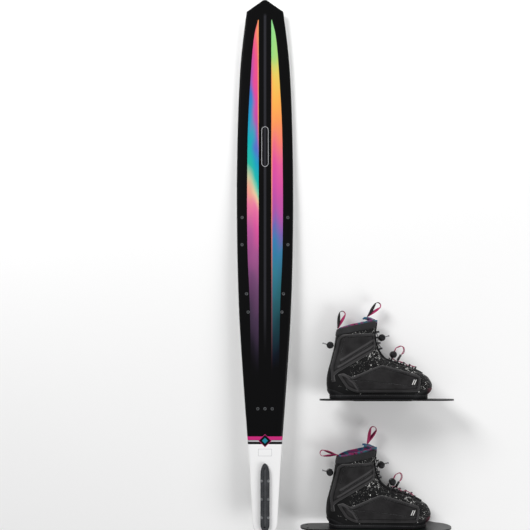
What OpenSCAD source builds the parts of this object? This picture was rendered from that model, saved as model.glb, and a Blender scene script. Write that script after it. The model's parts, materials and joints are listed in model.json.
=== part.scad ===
// Slalom water ski with two plate-mounted boots, laid out on a floor.
// The ski lies on its forebody and its fin, and each boot lies on its side.

/* [Ski] */
// Length of the ski from tail to tip
ski_length = 1651; // [1550:1:1750]
// Greatest width of the ski
ski_width = 177; // [168:1:186]
// Thickness of the ski between the boots
ski_thickness = 24; // [20:0.5:28]
// Rise of the tip above the flat of the base
tip_rocker = 55; // [45:1:65]
// Rise of the tail above the flat of the base
tail_rocker = 8; // [4:1:12]
// Thickness of the top and base laminates
laminate = 2; // [1.5:0.1:2.5]

/* [Fin] */
// Length of the fin along the ski
fin_length = 172; // [165:1:176]
// Depth of the fin below the base
fin_depth = 62; // [56:1:66]
// Thickness of the fin plate
fin_thickness = 1.6; // [1.5:0.1:2]
// Distance the fin slides either way in its block
fin_travel = 4; // [2:0.5:5]
// Span of the wing on the fin
wing_span = 64; // [56:1:72]

/* [Boots] */
// Length of a boot from heel to toe
boot_length = 325; // [310:1:335]
// Width of a boot at the ball of the foot
boot_width = 100; // [92:1:104]
// Thickness of a mounting plate
plate_t = 5; // [4:0.5:6]
// Thickness of the outsole
sole_t = 12; // [10:1:14]
// Travel of a cord lock's button
button_travel = 3.5; // [2:0.5:4]

/* [Layout] */
// Distance from the ski's centre line to the boots' heels
boot_offset = 190; // [180:1:230]
// Distance between the soles of the two laid-out boots
boot_pitch = 400; // [390:1:430]

/* [Hidden] */
$fn = 40;
BOOTS = ["front", "rear"];
SKI_NODES = ["top_laminate", "ski_core", "base_laminate", "binding_inserts", "fin_block",
             "fin_clamp_bar", "fin_set_screws", "fin_block_screws", "fin_blade", "wing_screw",
             "fin_wing"];
BOOT_NODES = ["plate", "sole_screws", "outsole", "insole", "liner", "upper", "collar", "tongue",
              "cuff_panels", "side_panels", "toe_heel_caps", "lace_guides", "instep_lace",
              "ankle_lace", "lace_tail", "tail_clip", "instep_lock", "instep_button", "ankle_lock",
              "ankle_button", "heel_lock", "heel_button", "heel_loop", "tongue_loop"];

eps = 0.01;

// ---- Curves ----
function unit(v) = v / norm(v);
function catmull(a, b, c, d, t) =
    0.5 * (2 * b + (c - a) * t + (2 * a - 5 * b + 4 * c - d) * t * t
           + (3 * b - a - 3 * c + d) * t * t * t);
// A smooth curve through all points but the first and the last, which only set its end slopes
function curve_through(p, steps) = concat(
    [for (i = [1 : len(p) - 3]) for (k = [0 : steps - 1])
        catmull(p[i - 1], p[i], p[i + 1], p[i + 2], k / steps)],
    [p[len(p) - 2]]);
function tangents(p) =
    [for (i = [0 : len(p) - 1]) unit(p[min(i + 1, len(p) - 1)] - p[max(i - 1, 0)])];
function flattened(v, t) = unit(v - (v * t) * t);
function normals(t, out = []) =
    len(out) == len(t) ? out
    : normals(t, concat(out, [flattened(len(out) == 0 ? [0.31, 0.52, 0.8] : out[len(out) - 1],
                                        t[len(out)])]));

// A round cord along points
module tube(p, radius, sides = 8) {
    t = tangents(p);
    n = normals(t);
    rings = [for (i = [0 : len(p) - 1]) for (k = [0 : sides - 1])
        p[i] + radius * (cos(k * 360 / sides) * n[i] + sin(k * 360 / sides) * cross(t[i], n[i]))];
    walls = [for (i = [0 : len(p) - 2]) for (k = [0 : sides - 1])
        [i * sides + k, (i + 1) * sides + k, (i + 1) * sides + (k + 1) % sides,
         i * sides + (k + 1) % sides]];
    start_cap = [for (k = [0 : sides - 1]) k];
    end_cap = [for (k = [sides - 1 : -1 : 0]) (len(p) - 1) * sides + k];
    polyhedron(rings, concat(walls, [start_cap, end_cap]), convexity = 6);
}

// ---- Ski shape, in the ski's own frame: X across, Y from tail to tip, Z up from the base ----
// Outline stations: share of the length, share of the half width
OUTLINE = [[-0.06, 0.36], [0.017, 0.435], [0.133, 0.56], [0.272, 0.752], [0.424, 0.927],
           [0.594, 1], [0.745, 0.977], [0.878, 0.87], [0.979, 0.645], [1.03, 0.5]];
// Thickness stations: share of the length, share of the thickness between the boots
THICKNESS = [[0, 0.42], [0.1, 0.55], [0.3, 0.82], [0.5, 1], [0.64, 1], [0.8, 0.76], [0.93, 0.5],
             [1, 0.4]];
tip_corner_share = 0.06;
outline_steps = 5;
profile_steps = 32;
flat_from = 0.3;
flat_to = 0.545;
rocker_power = 2.2;

function base_z(f) =
    f < flat_from ? tail_rocker * pow((flat_from - f) / flat_from, 2)
    : f > flat_to ? tip_rocker * pow((f - flat_to) / (1 - flat_to), rocker_power)
    : 0;
function top_z(f) = base_z(f) + ski_thickness * lookup(f, THICKNESS);

edge_points = [for (q = curve_through(OUTLINE, outline_steps))
    [q[1] * ski_width / 2, q[0] * ski_length]];
tail_corner = [[0.27 * ski_width / 2, 0], [0.38 * ski_width / 2, 0.006 * ski_length]];
tip_corner = [[tip_corner_share * ski_width / 2, ski_length]];
right_edge = concat(tail_corner, edge_points, tip_corner);
left_edge = [for (i = [len(right_edge) - 1 : -1 : 0]) [-right_edge[i][0], right_edge[i][1]]];

// The layer of the ski between two offsets, each measured up from the base or down from the top
module ski_layer(low_from_base, low, high_from_base, high) {
    stations = [for (i = [0 : profile_steps]) i / profile_steps];
    function level(f, from_base, offset_z) = from_base ? base_z(f) + offset_z : top_z(f) - offset_z;
    lower = [for (f = stations) [f * ski_length, level(f, low_from_base, low)]];
    upper = [for (i = [profile_steps : -1 : 0])
        [stations[i] * ski_length, level(stations[i], high_from_base, high)]];
    intersection() {
        translate([0, 0, -50])
            linear_extrude(200)
                polygon(concat(right_edge, left_edge));
        rotate([90, 0, 90])
            linear_extrude(ski_width + 20, center = true)
                polygon(concat(lower, upper));
    }
}

// Threaded inserts for the boot plates: distance from the tail and half spacing of each row
INSERT_ROWS = [[977, 71.5], [892, 71.5], [739, 57.5], [682, 52.5], [382, 22.5], [382, 0]];
INSERTS = [for (r = INSERT_ROWS) for (side = r[1] > 0 ? [-1, 1] : [1]) [side * r[1], r[0]]];
insert_r = 5;
insert_bore_r = 3;
insert_depth = 12;

module at_inserts() {
    for (p = INSERTS)
        translate([p[0], p[1], top_z(p[1] / ski_length) - insert_depth - 0.2])
            children();
}

// Fin block place: distance of its rear end from the tail, and the seat on the deck
block_length = 208;
block_width = 28;
block_height = 13;
block_rear = 6;
fin_rear = 24;
slot_clearance = 1;
BLOCK_SCREWS = [for (y = [50, 106, 162]) for (x = [-10, 10]) [x, y]];
SET_SCREWS = [45, 85, 130, 172];
block_tilt = -atan((top_z(0.13) - top_z(0)) / (0.13 * ski_length));
bar_t = 3;

module fin_slot(width, extra) {
    translate([-width / 2, fin_rear - fin_travel - extra, -20])
        cube([width, fin_length + 2 * (fin_travel + extra), 80]);
}

module top_laminate() {
    color("#0c0c0e")
        difference() {
            ski_layer(false, laminate, false, 0);
            at_inserts() cylinder(r = insert_r, h = 40);
            fin_slot(fin_thickness + 2 * bar_t, slot_clearance);
            at_block() screw_holes(3);
        }
}

module ski_core() {
    color("#d8c9a3")
        difference() {
            ski_layer(true, laminate, false, laminate);
            at_inserts() cylinder(r = insert_r, h = 40);
            fin_slot(fin_thickness + 1.4, slot_clearance);
            at_block() screw_holes(3);
        }
}

module base_laminate() {
    color("#f2f2f0")
        difference() {
            ski_layer(true, 0, true, laminate);
            fin_slot(fin_thickness + 1.4, slot_clearance);
        }
}

module binding_inserts() {
    color("#8f9296")
        at_inserts()
            difference() {
                cylinder(r = insert_r, h = insert_depth);
                translate([0, 0, 1.5])
                    cylinder(r = insert_bore_r, h = insert_depth);
            }
}

// ---- Fin block, clamp bar and screws ----
module at_block() {
    translate([0, 0, top_z(0) + 0.3])
        rotate([-block_tilt, 0, 0])
            children();
}

module block_outline(inset = 0) {
    half = block_width / 2 - inset;
    nose = 34;
    tail = 22;
    rear = block_rear + inset;
    front = block_rear + block_length - inset;
    flank = [for (a = [0 : 15 : 90]) [half * cos(a), front - nose + nose * sin(a)]];
    heel = [for (a = [0 : 15 : 75]) [half * (1 - 0.45 * pow(sin(90 - a), 4)), rear + tail * a / 75]];
    right = concat(heel, flank);
    polygon(concat(right, [for (i = [len(right) - 2 : -1 : 0]) [-right[i][0], right[i][1]]]));
}

module screw_holes(r) {
    for (p = BLOCK_SCREWS)
        translate([p[0], p[1], -7])
            cylinder(r = r, h = 40);
}

module fin_block() {
    slot = fin_thickness + 0.3;
    color("#3b3d40")
        difference() {
            at_block()
                union() {
                    linear_extrude(block_height - 3) block_outline();
                    translate([0, 0, block_height - 3 - eps]) linear_extrude(3) block_outline(3);
                }
            translate([-slot / 2 - bar_t - 0.2, fin_rear - fin_travel - slot_clearance, -10])
                cube([slot + bar_t + 0.2, fin_length + 2 * (fin_travel + slot_clearance), 80]);
            at_block() screw_holes(2.6);
            at_block() for (p = BLOCK_SCREWS)
                translate([p[0], p[1], block_height - 4])
                    cylinder(r = 4.2, h = 20);
            at_block() set_screw_places() cylinder(r = 2.5, h = 40);
        }
}

module fin_clamp_bar() {
    color("#55585c")
        at_block()
            translate([-fin_thickness / 2 - bar_t - 0.15, fin_rear - fin_travel + 1, 1])
                cube([bar_t, fin_length + 2 * fin_travel - 2, block_height - 3]);
}

module set_screw_places() {
    for (y = SET_SCREWS)
        translate([-fin_thickness / 2 - bar_t - 0.2, y, block_height * 0.4])
            rotate([0, -90, 0])
                children();
}

module fin_set_screws() {
    color("#9a9da1")
        at_block()
            set_screw_places()
                difference() {
                    cylinder(r = 2.4, h = 8);
                    translate([0, 0, 4.5]) cylinder(r = 1.25, h = 10, $fn = 6);
                }
}

module fin_block_screws() {
    color("#a5a8ac")
        at_block()
            for (p = BLOCK_SCREWS)
                translate([p[0], p[1], 0])
                    difference() {
                        union() {
                            translate([0, 0, -6.5]) cylinder(r = 2.5, h = block_height + 3);
                            translate([0, 0, block_height - 4 + eps]) cylinder(r = 4, h = 3);
                        }
                        translate([0, 0, block_height - 2.8]) cylinder(r = 1.6, h = 5, $fn = 6);
                    }
}

// ---- Fin and wing: Y runs from the fin's rear end, Z up from the base ----
wing_pivot = [fin_rear + 62, -24];
wing_r = 2;
wing_t = 1.6;
fin_top = 27;
FIN_HOLES = [for (i = [0 : 4]) [fin_rear + 78 + 16 * i, -20 - 3 * i]];

fin_sweep = 92;
FIN_LEADING = [for (a = [0 : 10 : 90])
    [fin_rear + fin_length - fin_sweep + fin_sweep * sin(a), -fin_depth * cos(a)]];

module fin_blade() {
    outline = concat([[fin_rear + 8, 2], [fin_rear + 26, -fin_depth + 8],
                      [fin_rear + 32, -fin_depth + 2], [fin_rear + 38, -fin_depth]], FIN_LEADING,
                     [[fin_rear + fin_length, fin_top], [fin_rear, fin_top], [fin_rear, 2]]);
    color("#b9bdc2")
        rotate([90, 0, 90])
            difference() {
                linear_extrude(fin_thickness, center = true) polygon(outline);
                for (p = FIN_HOLES)
                    translate(p) cylinder(r = 4, h = 10, center = true);
                translate(wing_pivot) cylinder(r = wing_r + 0.05, h = 10, center = true);
            }
}

module at_wing_pivot() {
    translate([0, wing_pivot[0], wing_pivot[1]])
        children();
}

module wing_screw() {
    color("#9a9da1")
        at_wing_pivot()
            rotate([0, 90, 0])
                union() {
                    cylinder(r = wing_r, h = fin_thickness + 2 * wing_t + 1, center = true);
                    for (s = [-1, 1])
                        translate([0, 0, s * (fin_thickness / 2 + wing_t + 1.2)])
                            cylinder(r = 4, h = 1.4, center = true);
                }
}

module fin_wing() {
    gap = fin_thickness / 2 + 0.3;
    blade = [[gap, -26], [wing_span / 2 - 4, -26], [wing_span / 2, -20], [wing_span / 2 - 3, -4],
             [gap + 6, 14], [gap, 14]];
    color("#202124")
        at_wing_pivot()
            difference() {
                for (s = [0, 1]) mirror([s, 0, 0]) {
                    translate([0, 0, -7.6])
                        linear_extrude(wing_t) polygon(blade);
                    translate([gap, -8, -7])
                        cube([wing_t, 16, 12]);
                }
                rotate([0, 90, 0]) cylinder(r = wing_r + 0.06, h = 30, center = true);
            }
}

// ---- Boot shape, in the boot's own frame: X from heel to toe, Y to the left, Z up ----
boot_scale = boot_length / 325;
width_scale = boot_width / 100;
upper_z = plate_t + sole_t;
// Side view: X, and height above the outsole
SIDE = [[12, 0], [3, 14], [0, 36], [3, 66], [14, 106], [24, 146], [32, 196], [44, 206], [92, 219],
        [138, 225], [152, 220], [157, 206], [152, 176], [164, 138], [180, 113], [222, 97],
        [262, 83], [296, 68], [314, 54], [323, 38], [325, 26], [318, 10], [306, 0]];
// Top view: X and half width
PLAN = [[0, 10], [4, 22], [14, 33], [40, 40], [80, 41], [130, 41], [170, 43], [215, 48],
        [258, 50], [290, 45], [310, 33], [321, 18], [325, 6]];
upper_t = 4;
liner_t = 6;
panel_t = 2.5;
collar_t = 1.5;
collar_height = 22;
insole_t = 4;
tongue_proud = 3;

module plan_outline() {
    right = [for (p = PLAN) [p[0] * boot_scale, p[1] * width_scale]];
    polygon(concat(right, [for (i = [len(right) - 1 : -1 : 0]) [right[i][0], -right[i][1]]]));
}

module side_outline() {
    polygon([for (p = SIDE) [p[0] * boot_scale, p[1] * boot_scale + upper_z]]);
}

// Stands a side-view outline up and makes it as wide as any boot
module side_prism(half = 80) {
    rotate([90, 0, 0])
        linear_extrude(2 * half, center = true)
            children();
}

// The boot's outside, grown outward by that much, or with its top left open
module boot_form(grow, open_top = false) {
    intersection() {
        translate([0, 0, -1])
            linear_extrude(400)
                offset(delta = grow) plan_outline();
        side_prism()
            union() {
                offset(delta = grow) side_outline();
                if (open_top) polygon([[42, 190], [150, 190], [156, 330], [50, 330]]);
            }
    }
}

// Everything above, or below, the sloped rim of the boot, moved down by that much
module below_rim(down) {
    side_prism()
        polygon([[-60, -60], [400, -60], [400, 292 - down], [-60, 212 - down]]);
}

module shell(outer, inner) {
    difference() {
        boot_form(outer);
        boot_form(inner, true);
    }
}

// The gap down the front that the tongue fills
throat_half = 17;
module throat(half) {
    side_prism(half)
        polygon([[100, 205], [140, 175], [150, 128], [178, 100], [240, 84], [262, 76], [290, 120],
                 [220, 200], [170, 330], [100, 330]]);
}

CUFF_PANEL = [[48, 201], [148, 206], [150, 159], [138, 146], [34, 87], [22, 76], [25, 58], [14, 56],
              [12, 100], [26, 150], [36, 190]];
SIDE_PANEL = [[31, 79], [50, 83], [74, 70], [166, 110], [284, 74], [278, 26], [86, 24], [58, 38]];
panel_gap = 0.2;

module panel_pair(shape_points) {
    difference() {
        intersection() {
            shell(panel_t, panel_gap);
            side_prism() polygon(shape_points);
        }
        throat(throat_half + 8);
    }
}

heel_end_r = 42;
toe_end_r = 54;
wing_corner_r = 14;
plate_fillet = 18;
function plate_half(kind) = kind == "front" ? 82 : 68;
function plate_heel(kind) = kind == "front" ? -22 : -80;
function plate_toe(kind) = kind == "front" ? 391 : 388;
// Where the wide part of a plate, which carries its outer holes, begins and ends
function plate_wing(kind) = kind == "front" ? [88, 238] : [212, 330];

module plate_outline(kind) {
    offset(r = -plate_fillet) offset(delta = plate_fillet) {
        hull() {
            translate([plate_heel(kind) + heel_end_r, 0]) circle(r = heel_end_r);
            translate([plate_toe(kind) - toe_end_r, 0]) circle(r = toe_end_r);
        }
        hull()
            for (x = plate_wing(kind)) for (side = [-1, 1])
                translate([x, side * (plate_half(kind) - wing_corner_r)])
                    circle(r = wing_corner_r, $fn = 32);
    }
}

// Rows of plate holes: distance from the heel and half spacing
function plate_rows(kind) = kind == "front" ? [[120, 71.5], [205, 71.5]]
                                            : [[242, 52.5], [299, 57.5], [-58, 22.5]];
plate_hole_r = 3.5;
hole_step = 14;
SOLE_SCREWS = [[55, -18], [55, 18], [235, -26], [235, 26]];

module boot_plate(kind) {
    color("#141416")
        difference() {
            linear_extrude(plate_t) plate_outline(kind);
            for (row = plate_rows(kind)) for (side = [-1, 1]) for (k = row[0] > 0 ? [-1, 0, 1] : [0])
                translate([row[0] + k * hole_step, side * row[1], -1])
                    cylinder(r = plate_hole_r, h = plate_t + 2);
            for (p = SOLE_SCREWS)
                translate([p[0], p[1], -1]) {
                    cylinder(r = 2.6, h = 20);
                    cylinder(r = 5, h = 3.4);
                }
        }
}

module sole_screws() {
    color("#9a9da1")
        for (p = SOLE_SCREWS)
            translate([p[0], p[1], 0.2])
                difference() {
                    union() {
                        cylinder(r = 2.5, h = plate_t + 8);
                        cylinder(r = 4.8, h = 2.2);
                    }
                    translate([0, 0, -1]) cylinder(r = 1.6, h = 2.4, $fn = 6);
                }
}

module outsole() {
    color("#101011")
        difference() {
            translate([0, 0, plate_t]) linear_extrude(sole_t) offset(delta = 1.5) plan_outline();
            for (p = SOLE_SCREWS)
                translate([p[0], p[1], 0]) cylinder(r = 2.5, h = plate_t + 8.4);
        }
}

module insole() {
    color("#2a2a2d")
        intersection() {
            translate([0, 0, upper_z + upper_t + liner_t + 0.1])
                linear_extrude(insole_t) plan_outline();
            boot_form(-upper_t - liner_t - 1);
        }
}

module liner() {
    color("#38203a")
        intersection() {
            shell(-upper_t - 0.1, -upper_t - liner_t);
            below_rim(2);
        }
}

module upper() {
    color("#17181a")
        difference() {
            intersection() {
                shell(0, -upper_t);
                below_rim(collar_height + 0.2);
            }
            throat(throat_half);
        }
}

module collar() {
    color("#2b2c2e")
        difference() {
            intersection() {
                shell(collar_t, -upper_t);
                below_rim(0);
            }
            below_rim(collar_height);
            throat(throat_half);
        }
}

// The end of the tongue that stands above the collar, in side view
TONGUE_TOP = [[150, 239], [158, 234], [150, 248], [136, 257], [127, 257], [140, 244]];

module tongue() {
    color("#242528")
        intersection() {
            union() {
                shell(tongue_proud, -upper_t);
                side_prism() polygon(TONGUE_TOP);
            }
            throat(throat_half - 0.4);
        }
}

module cuff_panels() {
    color("#3a3b3e") panel_pair(CUFF_PANEL);
}

module side_panels() {
    color("#3a3b3e") panel_pair(SIDE_PANEL);
}

module toe_heel_caps() {
    color("#1b1c1e")
        intersection() {
            shell(2, 0.1);
            side_prism() {
                polygon([[286, upper_z], [340, upper_z], [340, 48], [300, 42]]);
                polygon([[-10, upper_z], [30, upper_z], [20, 44], [-10, 52]]);
            }
        }
}

// ---- Laces: they run over the tongue from side to side, along the instep and up the ankle ----
INSTEP_SURFACE = [[180, 130.8], [222, 114.8], [262, 100.6], [296, 85.6]];
ANKLE_SURFACE = [[155, 164], [193, 152], [223, 157]];
instep_x = [270, 198];
ankle_z = [158, 209];
instep_normal = unit([36, 100]);
ankle_normal = unit([100, 12]);
lace_r = 1.5;
lace_lift = tongue_proud + lace_r + 0.4;
lace_crown = 0.8;
lace_reach = 21;
guide_r = 3.2;
guide_h = 6.5;

// Points on the front of the boot in side view, for a share of each row of guides
function instep_point(share) =
    let (x = instep_x[0] + (instep_x[1] - instep_x[0]) * share)
        [x, lookup(x, INSTEP_SURFACE)];
function ankle_point(share) =
    let (z = ankle_z[0] + (ankle_z[1] - ankle_z[0]) * share) [lookup(z, ANKLE_SURFACE) + 0.6, z];

function row_point(row, share) = row == "instep" ? instep_point(share) : ankle_point(share);
function row_normal(row) = row == "instep" ? instep_normal : ankle_normal;

function zigzag(row, crossings) =
    let (n = row_normal(row))
        [for (i = [-1 : 2 * crossings + 1])
            let (c = row_point(row, i / (2 * crossings)), over = i % 2 != 0,
                 lift = lace_lift + (over ? lace_crown : 0),
                 side = over ? 0 : (i % 4 == 0 ? -1 : 1))
            [c[0] + n[0] * lift, side * lace_reach, c[1] + n[1] * lift]];

instep_crossings = 4;
ankle_crossings = 3;

module lace(row, crossings) {
    tube(curve_through(zigzag(row, crossings), 5), lace_r);
}

module instep_lace() {
    color("#8c1f4d") lace("instep", instep_crossings);
}

module ankle_lace() {
    color("#1c1c1e") {
        lace("ankle", ankle_crossings);
        strands("ankle");
        strands("heel");
    }
}

module guide_row(row, crossings) {
    n = row_normal(row);
    for (i = [0 : crossings]) for (side = [-1, 1]) {
        c = row_point(row, i / crossings);
        translate([c[0] + 0.3 * n[0], side * (lace_reach + lace_r + guide_r + 0.3),
                   c[1] + 0.3 * n[1]])
            rotate([0, 90 - atan2(n[1], n[0]), 0])
                cylinder(r = guide_r, h = guide_h);
    }
}

module lace_guides() {
    color("#26272a") {
        guide_row("instep", instep_crossings);
        guide_row("ankle", ankle_crossings);
    }
}

// ---- Cord locks: Z along the cord, the button sticks out along X ----
lock_r = 10.5;
lock_length = 19;
lock_wall = 2;
button_r = 6.5;
button_out = 6;
cord_half = 3.4;
cord_r = 1.2;
cord_room = 0.7;

// Place of each lock: X, Z and the direction of its cord in side view, in degrees from +X
LOCKS = [["instep", [203.5, 131], 66], ["ankle", [163, 190], 15], ["heel", [22.5, 167], 165]];
function lock_of(name) = [for (l = LOCKS) if (l[0] == name) l][0];

module at_lock(name) {
    place = lock_of(name);
    translate([place[1][0], 0, place[1][1]])
        rotate([0, 90 - place[2], 0])
            rotate([0, 0, -90])
                children();
}

// The two strands that a lock grips, with the knot that ends them past the lock
strand_length = 2 * lock_r + 12;
module strands(name) {
    at_lock(name) {
        for (x = [-cord_half, cord_half])
            translate([x, 0, 0.2]) cylinder(r = cord_r, h = strand_length);
        translate([-cord_half - cord_r, 0, strand_length])
            rotate([0, 90, 0])
                cylinder(r = 2.4, h = 2 * (cord_half + cord_r));
    }
}

module lock_body(name) {
    color("#0e0e10")
        at_lock(name)
            difference() {
                translate([-lock_length / 2, 0, lock_r])
                    rotate([0, 90, 0])
                        cylinder(r = lock_r, h = lock_length);
                translate([-lock_length / 2 + lock_wall, 0, lock_r])
                    rotate([0, 90, 0])
                        cylinder(r = button_r + 0.1, h = lock_length);
                for (x = [-cord_half, cord_half])
                    translate([x, 0, -1]) cylinder(r = cord_r + cord_room, h = 2 * lock_r + 2);
            }
}

module lock_button(name) {
    start = -lock_length / 2 + lock_wall + button_travel + 0.5;
    slot_half = cord_half + cord_r + 0.6;
    color("#1d1e20")
        at_lock(name)
            difference() {
                translate([start, 0, lock_r])
                    rotate([0, 90, 0])
                        cylinder(r = button_r, h = lock_length / 2 + button_out - start);
                translate([-slot_half, -cord_r - 0.4, -1])
                    cube([2 * slot_half + button_travel, 2 * cord_r + 0.8, 30]);
            }
}

// ---- The loose lace beyond the instep lock: two strands that end in one clip ----
// Points of each strand in the lock's own frame: across the cord, forward, and along the cord
straight = 2 * lock_r + 9;
TAIL_FRONT = [[cord_half, 0, straight], [4, 3, 37], [4, 10, 44], [3, 19, 43], [2, 24, 35],
              [1.8, 24, 26], [1.6, 22, 20]];
TAIL_REAR = [[cord_half, 0, straight], [3.4, 2, 38], [3, 8, 44], [2.6, 15, 42], [2.2, 19, 35],
             [1.8, 20, 26], [1.6, 19, 20]];
clip_length = 19;
clip_r = 3.8;
clip_gap = 0.6;

function tail_points(kind) = kind == "front" ? TAIL_FRONT : TAIL_REAR;

// The second strand swings a little wider, so that the two cross in side view
function second_strand(p) = [for (i = [0 : len(p) - 1])
    let (wide = i > 0 && i < len(p) - 1 ? 3.5 : 0) [-p[i][0], p[i][1] + wide, p[i][2] + wide / 3]];

module tail_strand(p) {
    last = len(p) - 1;
    run = concat([[p[0][0], 0, -20], [p[0][0], 0, 0.3]], p, [2 * p[last] - p[last - 1]]);
    tube(curve_through(run, 4), cord_r);
}

module lace_tail(kind) {
    color("#8c1f4d")
        at_lock("instep") {
            tail_strand(tail_points(kind));
            tail_strand(second_strand(tail_points(kind)));
        }
}

module tail_clip(kind) {
    p = tail_points(kind);
    last = p[len(p) - 1];
    color("#111113")
        at_lock("instep")
            translate([0, last[1], last[2] - clip_gap])
                rotate([172, 0, 0])
                    difference() {
                        cylinder(r = clip_r, h = clip_length);
                        translate([0, 0, clip_length - 5]) cylinder(r = 2.4, h = 6);
                    }
}

// ---- Webbing pull loops at the heel of the collar and the top of the tongue ----
loop_length = 56;
loop_width = 13;
loop_r = 10;
web_t = 1.8;
root_half = 2.2;
HEEL_LOOP = [37, 222.5];
TONGUE_LOOP = [131, 259.4];
function heel_loop_angle(kind) = kind == "front" ? 72 : 172;
function tongue_loop_angle(kind) = kind == "front" ? 47 : 66;

module pull_loop(place, angle) {
    bend = [for (a = [-100 : 20 : 100]) [cos(a), sin(a)]];
    centre = [loop_length - loop_r, 0];
    outer = [for (q = bend) centre + loop_r * q];
    inner = [for (q = bend) centre + (loop_r - web_t) * q];
    color("#a3215a")
        translate([place[0], 0, place[1]])
            rotate([0, -angle, 0])
                rotate([90, 0, 0])
                    linear_extrude(loop_width, center = true)
                        difference() {
                            polygon(concat([[0, -root_half]], outer, [[0, root_half]]));
                            polygon(concat([[8, -0.3]], inner, [[8, 0.3]]));
                        }
}

// ---- Places of the ski and the boots on the floor ----
// The ski tips forward until its base meets the floor ahead of the fin's lowest point
fin_low = FIN_LEADING[0];
CONTACTS = [for (i = [55 : 95]) [i / 100 * ski_length, base_z(i / 100)]];
ski_tilt = min([for (c = CONTACTS) atan((c[1] - fin_low[1]) / (c[0] - fin_low[0]))]);
function laid_z(p) = -p[0] * sin(ski_tilt) + p[1] * cos(ski_tilt);
ski_lift = -min([for (p = concat(CONTACTS, FIN_LEADING)) laid_z(p)]);
widest = max([for (q = edge_points) q[0]]);
layout_x = (boot_offset + plate_toe("front") - widest) / 2;
tail_y = -(ski_length * cos(ski_tilt) + (top_z(1) + base_z(0)) * sin(ski_tilt)) / 2;

module on_ski() {
    translate([-layout_x, tail_y, ski_lift])
        rotate([-ski_tilt, 0, 0])
            children();
}

// A boot leans on its side until its collar meets the floor beside the plate's edge
cuff_half = 41.7 * width_scale + collar_t;
rim_top = 243.4;
function boot_tilt(kind) = atan((plate_half(kind) - cuff_half) / (rim_top - plate_t));
function boot_lift(kind) =
    plate_half(kind) * cos(boot_tilt(kind)) + plate_t * sin(boot_tilt(kind));
function boot_y(kind) = tail_y + 12 + (kind == "front" ? boot_pitch : 0);

module on_boot(kind) {
    translate([-layout_x + boot_offset, boot_y(kind), boot_lift(kind)])
        rotate([-90 - boot_tilt(kind), 0, 0])
            children();
}

on_ski() top_laminate();
on_ski() ski_core();
on_ski() base_laminate();
on_ski() binding_inserts();
on_ski() fin_block();
on_ski() fin_clamp_bar();
on_ski() fin_set_screws();
on_ski() fin_block_screws();
on_ski() fin_blade();
on_ski() wing_screw();
on_ski() fin_wing();
for (b = BOOTS) {
    on_boot(b) boot_plate(b);
    on_boot(b) sole_screws();
    on_boot(b) outsole();
    on_boot(b) insole();
    on_boot(b) liner();
    on_boot(b) upper();
    on_boot(b) collar();
    on_boot(b) tongue();
    on_boot(b) cuff_panels();
    on_boot(b) side_panels();
    on_boot(b) toe_heel_caps();
    on_boot(b) lace_guides();
    on_boot(b) instep_lace();
    on_boot(b) ankle_lace();
    on_boot(b) lace_tail(b);
    on_boot(b) tail_clip(b);
    on_boot(b) lock_body("instep");
    on_boot(b) lock_button("instep");
    on_boot(b) lock_body("ankle");
    on_boot(b) lock_button("ankle");
    on_boot(b) lock_body("heel");
    on_boot(b) lock_button("heel");
    on_boot(b) pull_loop(HEEL_LOOP, heel_loop_angle(b));
    on_boot(b) pull_loop(TONGUE_LOOP, tongue_loop_angle(b));
}
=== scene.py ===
import json
import math

import bmesh
import bpy
import numpy as np
from mathutils import Matrix, Vector
from mathutils.geometry import delaunay_2d_cdt


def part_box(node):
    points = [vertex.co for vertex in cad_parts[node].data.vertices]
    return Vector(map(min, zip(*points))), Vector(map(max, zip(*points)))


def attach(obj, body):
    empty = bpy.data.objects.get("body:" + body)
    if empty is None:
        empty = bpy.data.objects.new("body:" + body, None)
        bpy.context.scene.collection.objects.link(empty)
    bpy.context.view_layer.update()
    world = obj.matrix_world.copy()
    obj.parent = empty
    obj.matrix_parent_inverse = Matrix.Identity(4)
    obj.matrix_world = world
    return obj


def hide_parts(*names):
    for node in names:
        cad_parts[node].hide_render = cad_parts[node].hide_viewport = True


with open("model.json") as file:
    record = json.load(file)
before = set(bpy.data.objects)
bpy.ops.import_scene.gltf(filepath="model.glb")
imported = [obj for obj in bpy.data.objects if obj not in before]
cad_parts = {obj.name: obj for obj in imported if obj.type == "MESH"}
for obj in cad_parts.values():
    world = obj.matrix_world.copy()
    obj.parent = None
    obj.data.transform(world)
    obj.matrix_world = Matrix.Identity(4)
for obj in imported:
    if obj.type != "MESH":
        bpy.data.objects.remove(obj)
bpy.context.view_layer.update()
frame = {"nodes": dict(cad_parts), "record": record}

MM = 0.001
BOOTS = ("front", "rear")
ROOT = "ski_set"

# ---------------------------------------------------------------- curves and shape functions

def smooth(t):
    """0 below 0, 1 above 1, and an S curve between them."""
    t = np.clip(t, 0.0, 1.0)
    return t * t * (3 - 2 * t)


def curve_through(points, steps):
    """A smooth curve through all points but the first and the last, which set its end slopes."""
    p = np.array(points, float)
    found = []
    for i in range(1, len(p) - 2):
        a, b, c, d = p[i - 1], p[i], p[i + 1], p[i + 2]
        for k in range(steps):
            t = k / steps
            found.append(0.5 * (2 * b + (c - a) * t + (2 * a - 5 * b + 4 * c - d) * t ** 2
                                + (3 * b - a - 3 * c + d) * t ** 3))
    found.append(p[-2])
    return np.array(found)


def smooth_table(points, steps=8):
    """A finer table of the same curve, for np.interp."""
    p = np.array(points, float)
    return curve_through(np.vstack([2 * p[0] - p[1], p, 2 * p[-1] - p[-2]]), steps)


def running_length(points):
    steps = np.linalg.norm(np.diff(points, axis=0), axis=1)
    return np.concatenate([[0.0], np.cumsum(steps)])


def unit(vectors):
    """The same directions, each of length 1."""
    return vectors / np.linalg.norm(vectors, axis=-1)[..., None]


def at_lengths(line, length, where):
    """Points of a line at the given lengths along it."""
    return np.stack([np.interp(where, length, line[:, i]) for i in range(line.shape[1])], axis=-1)


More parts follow.
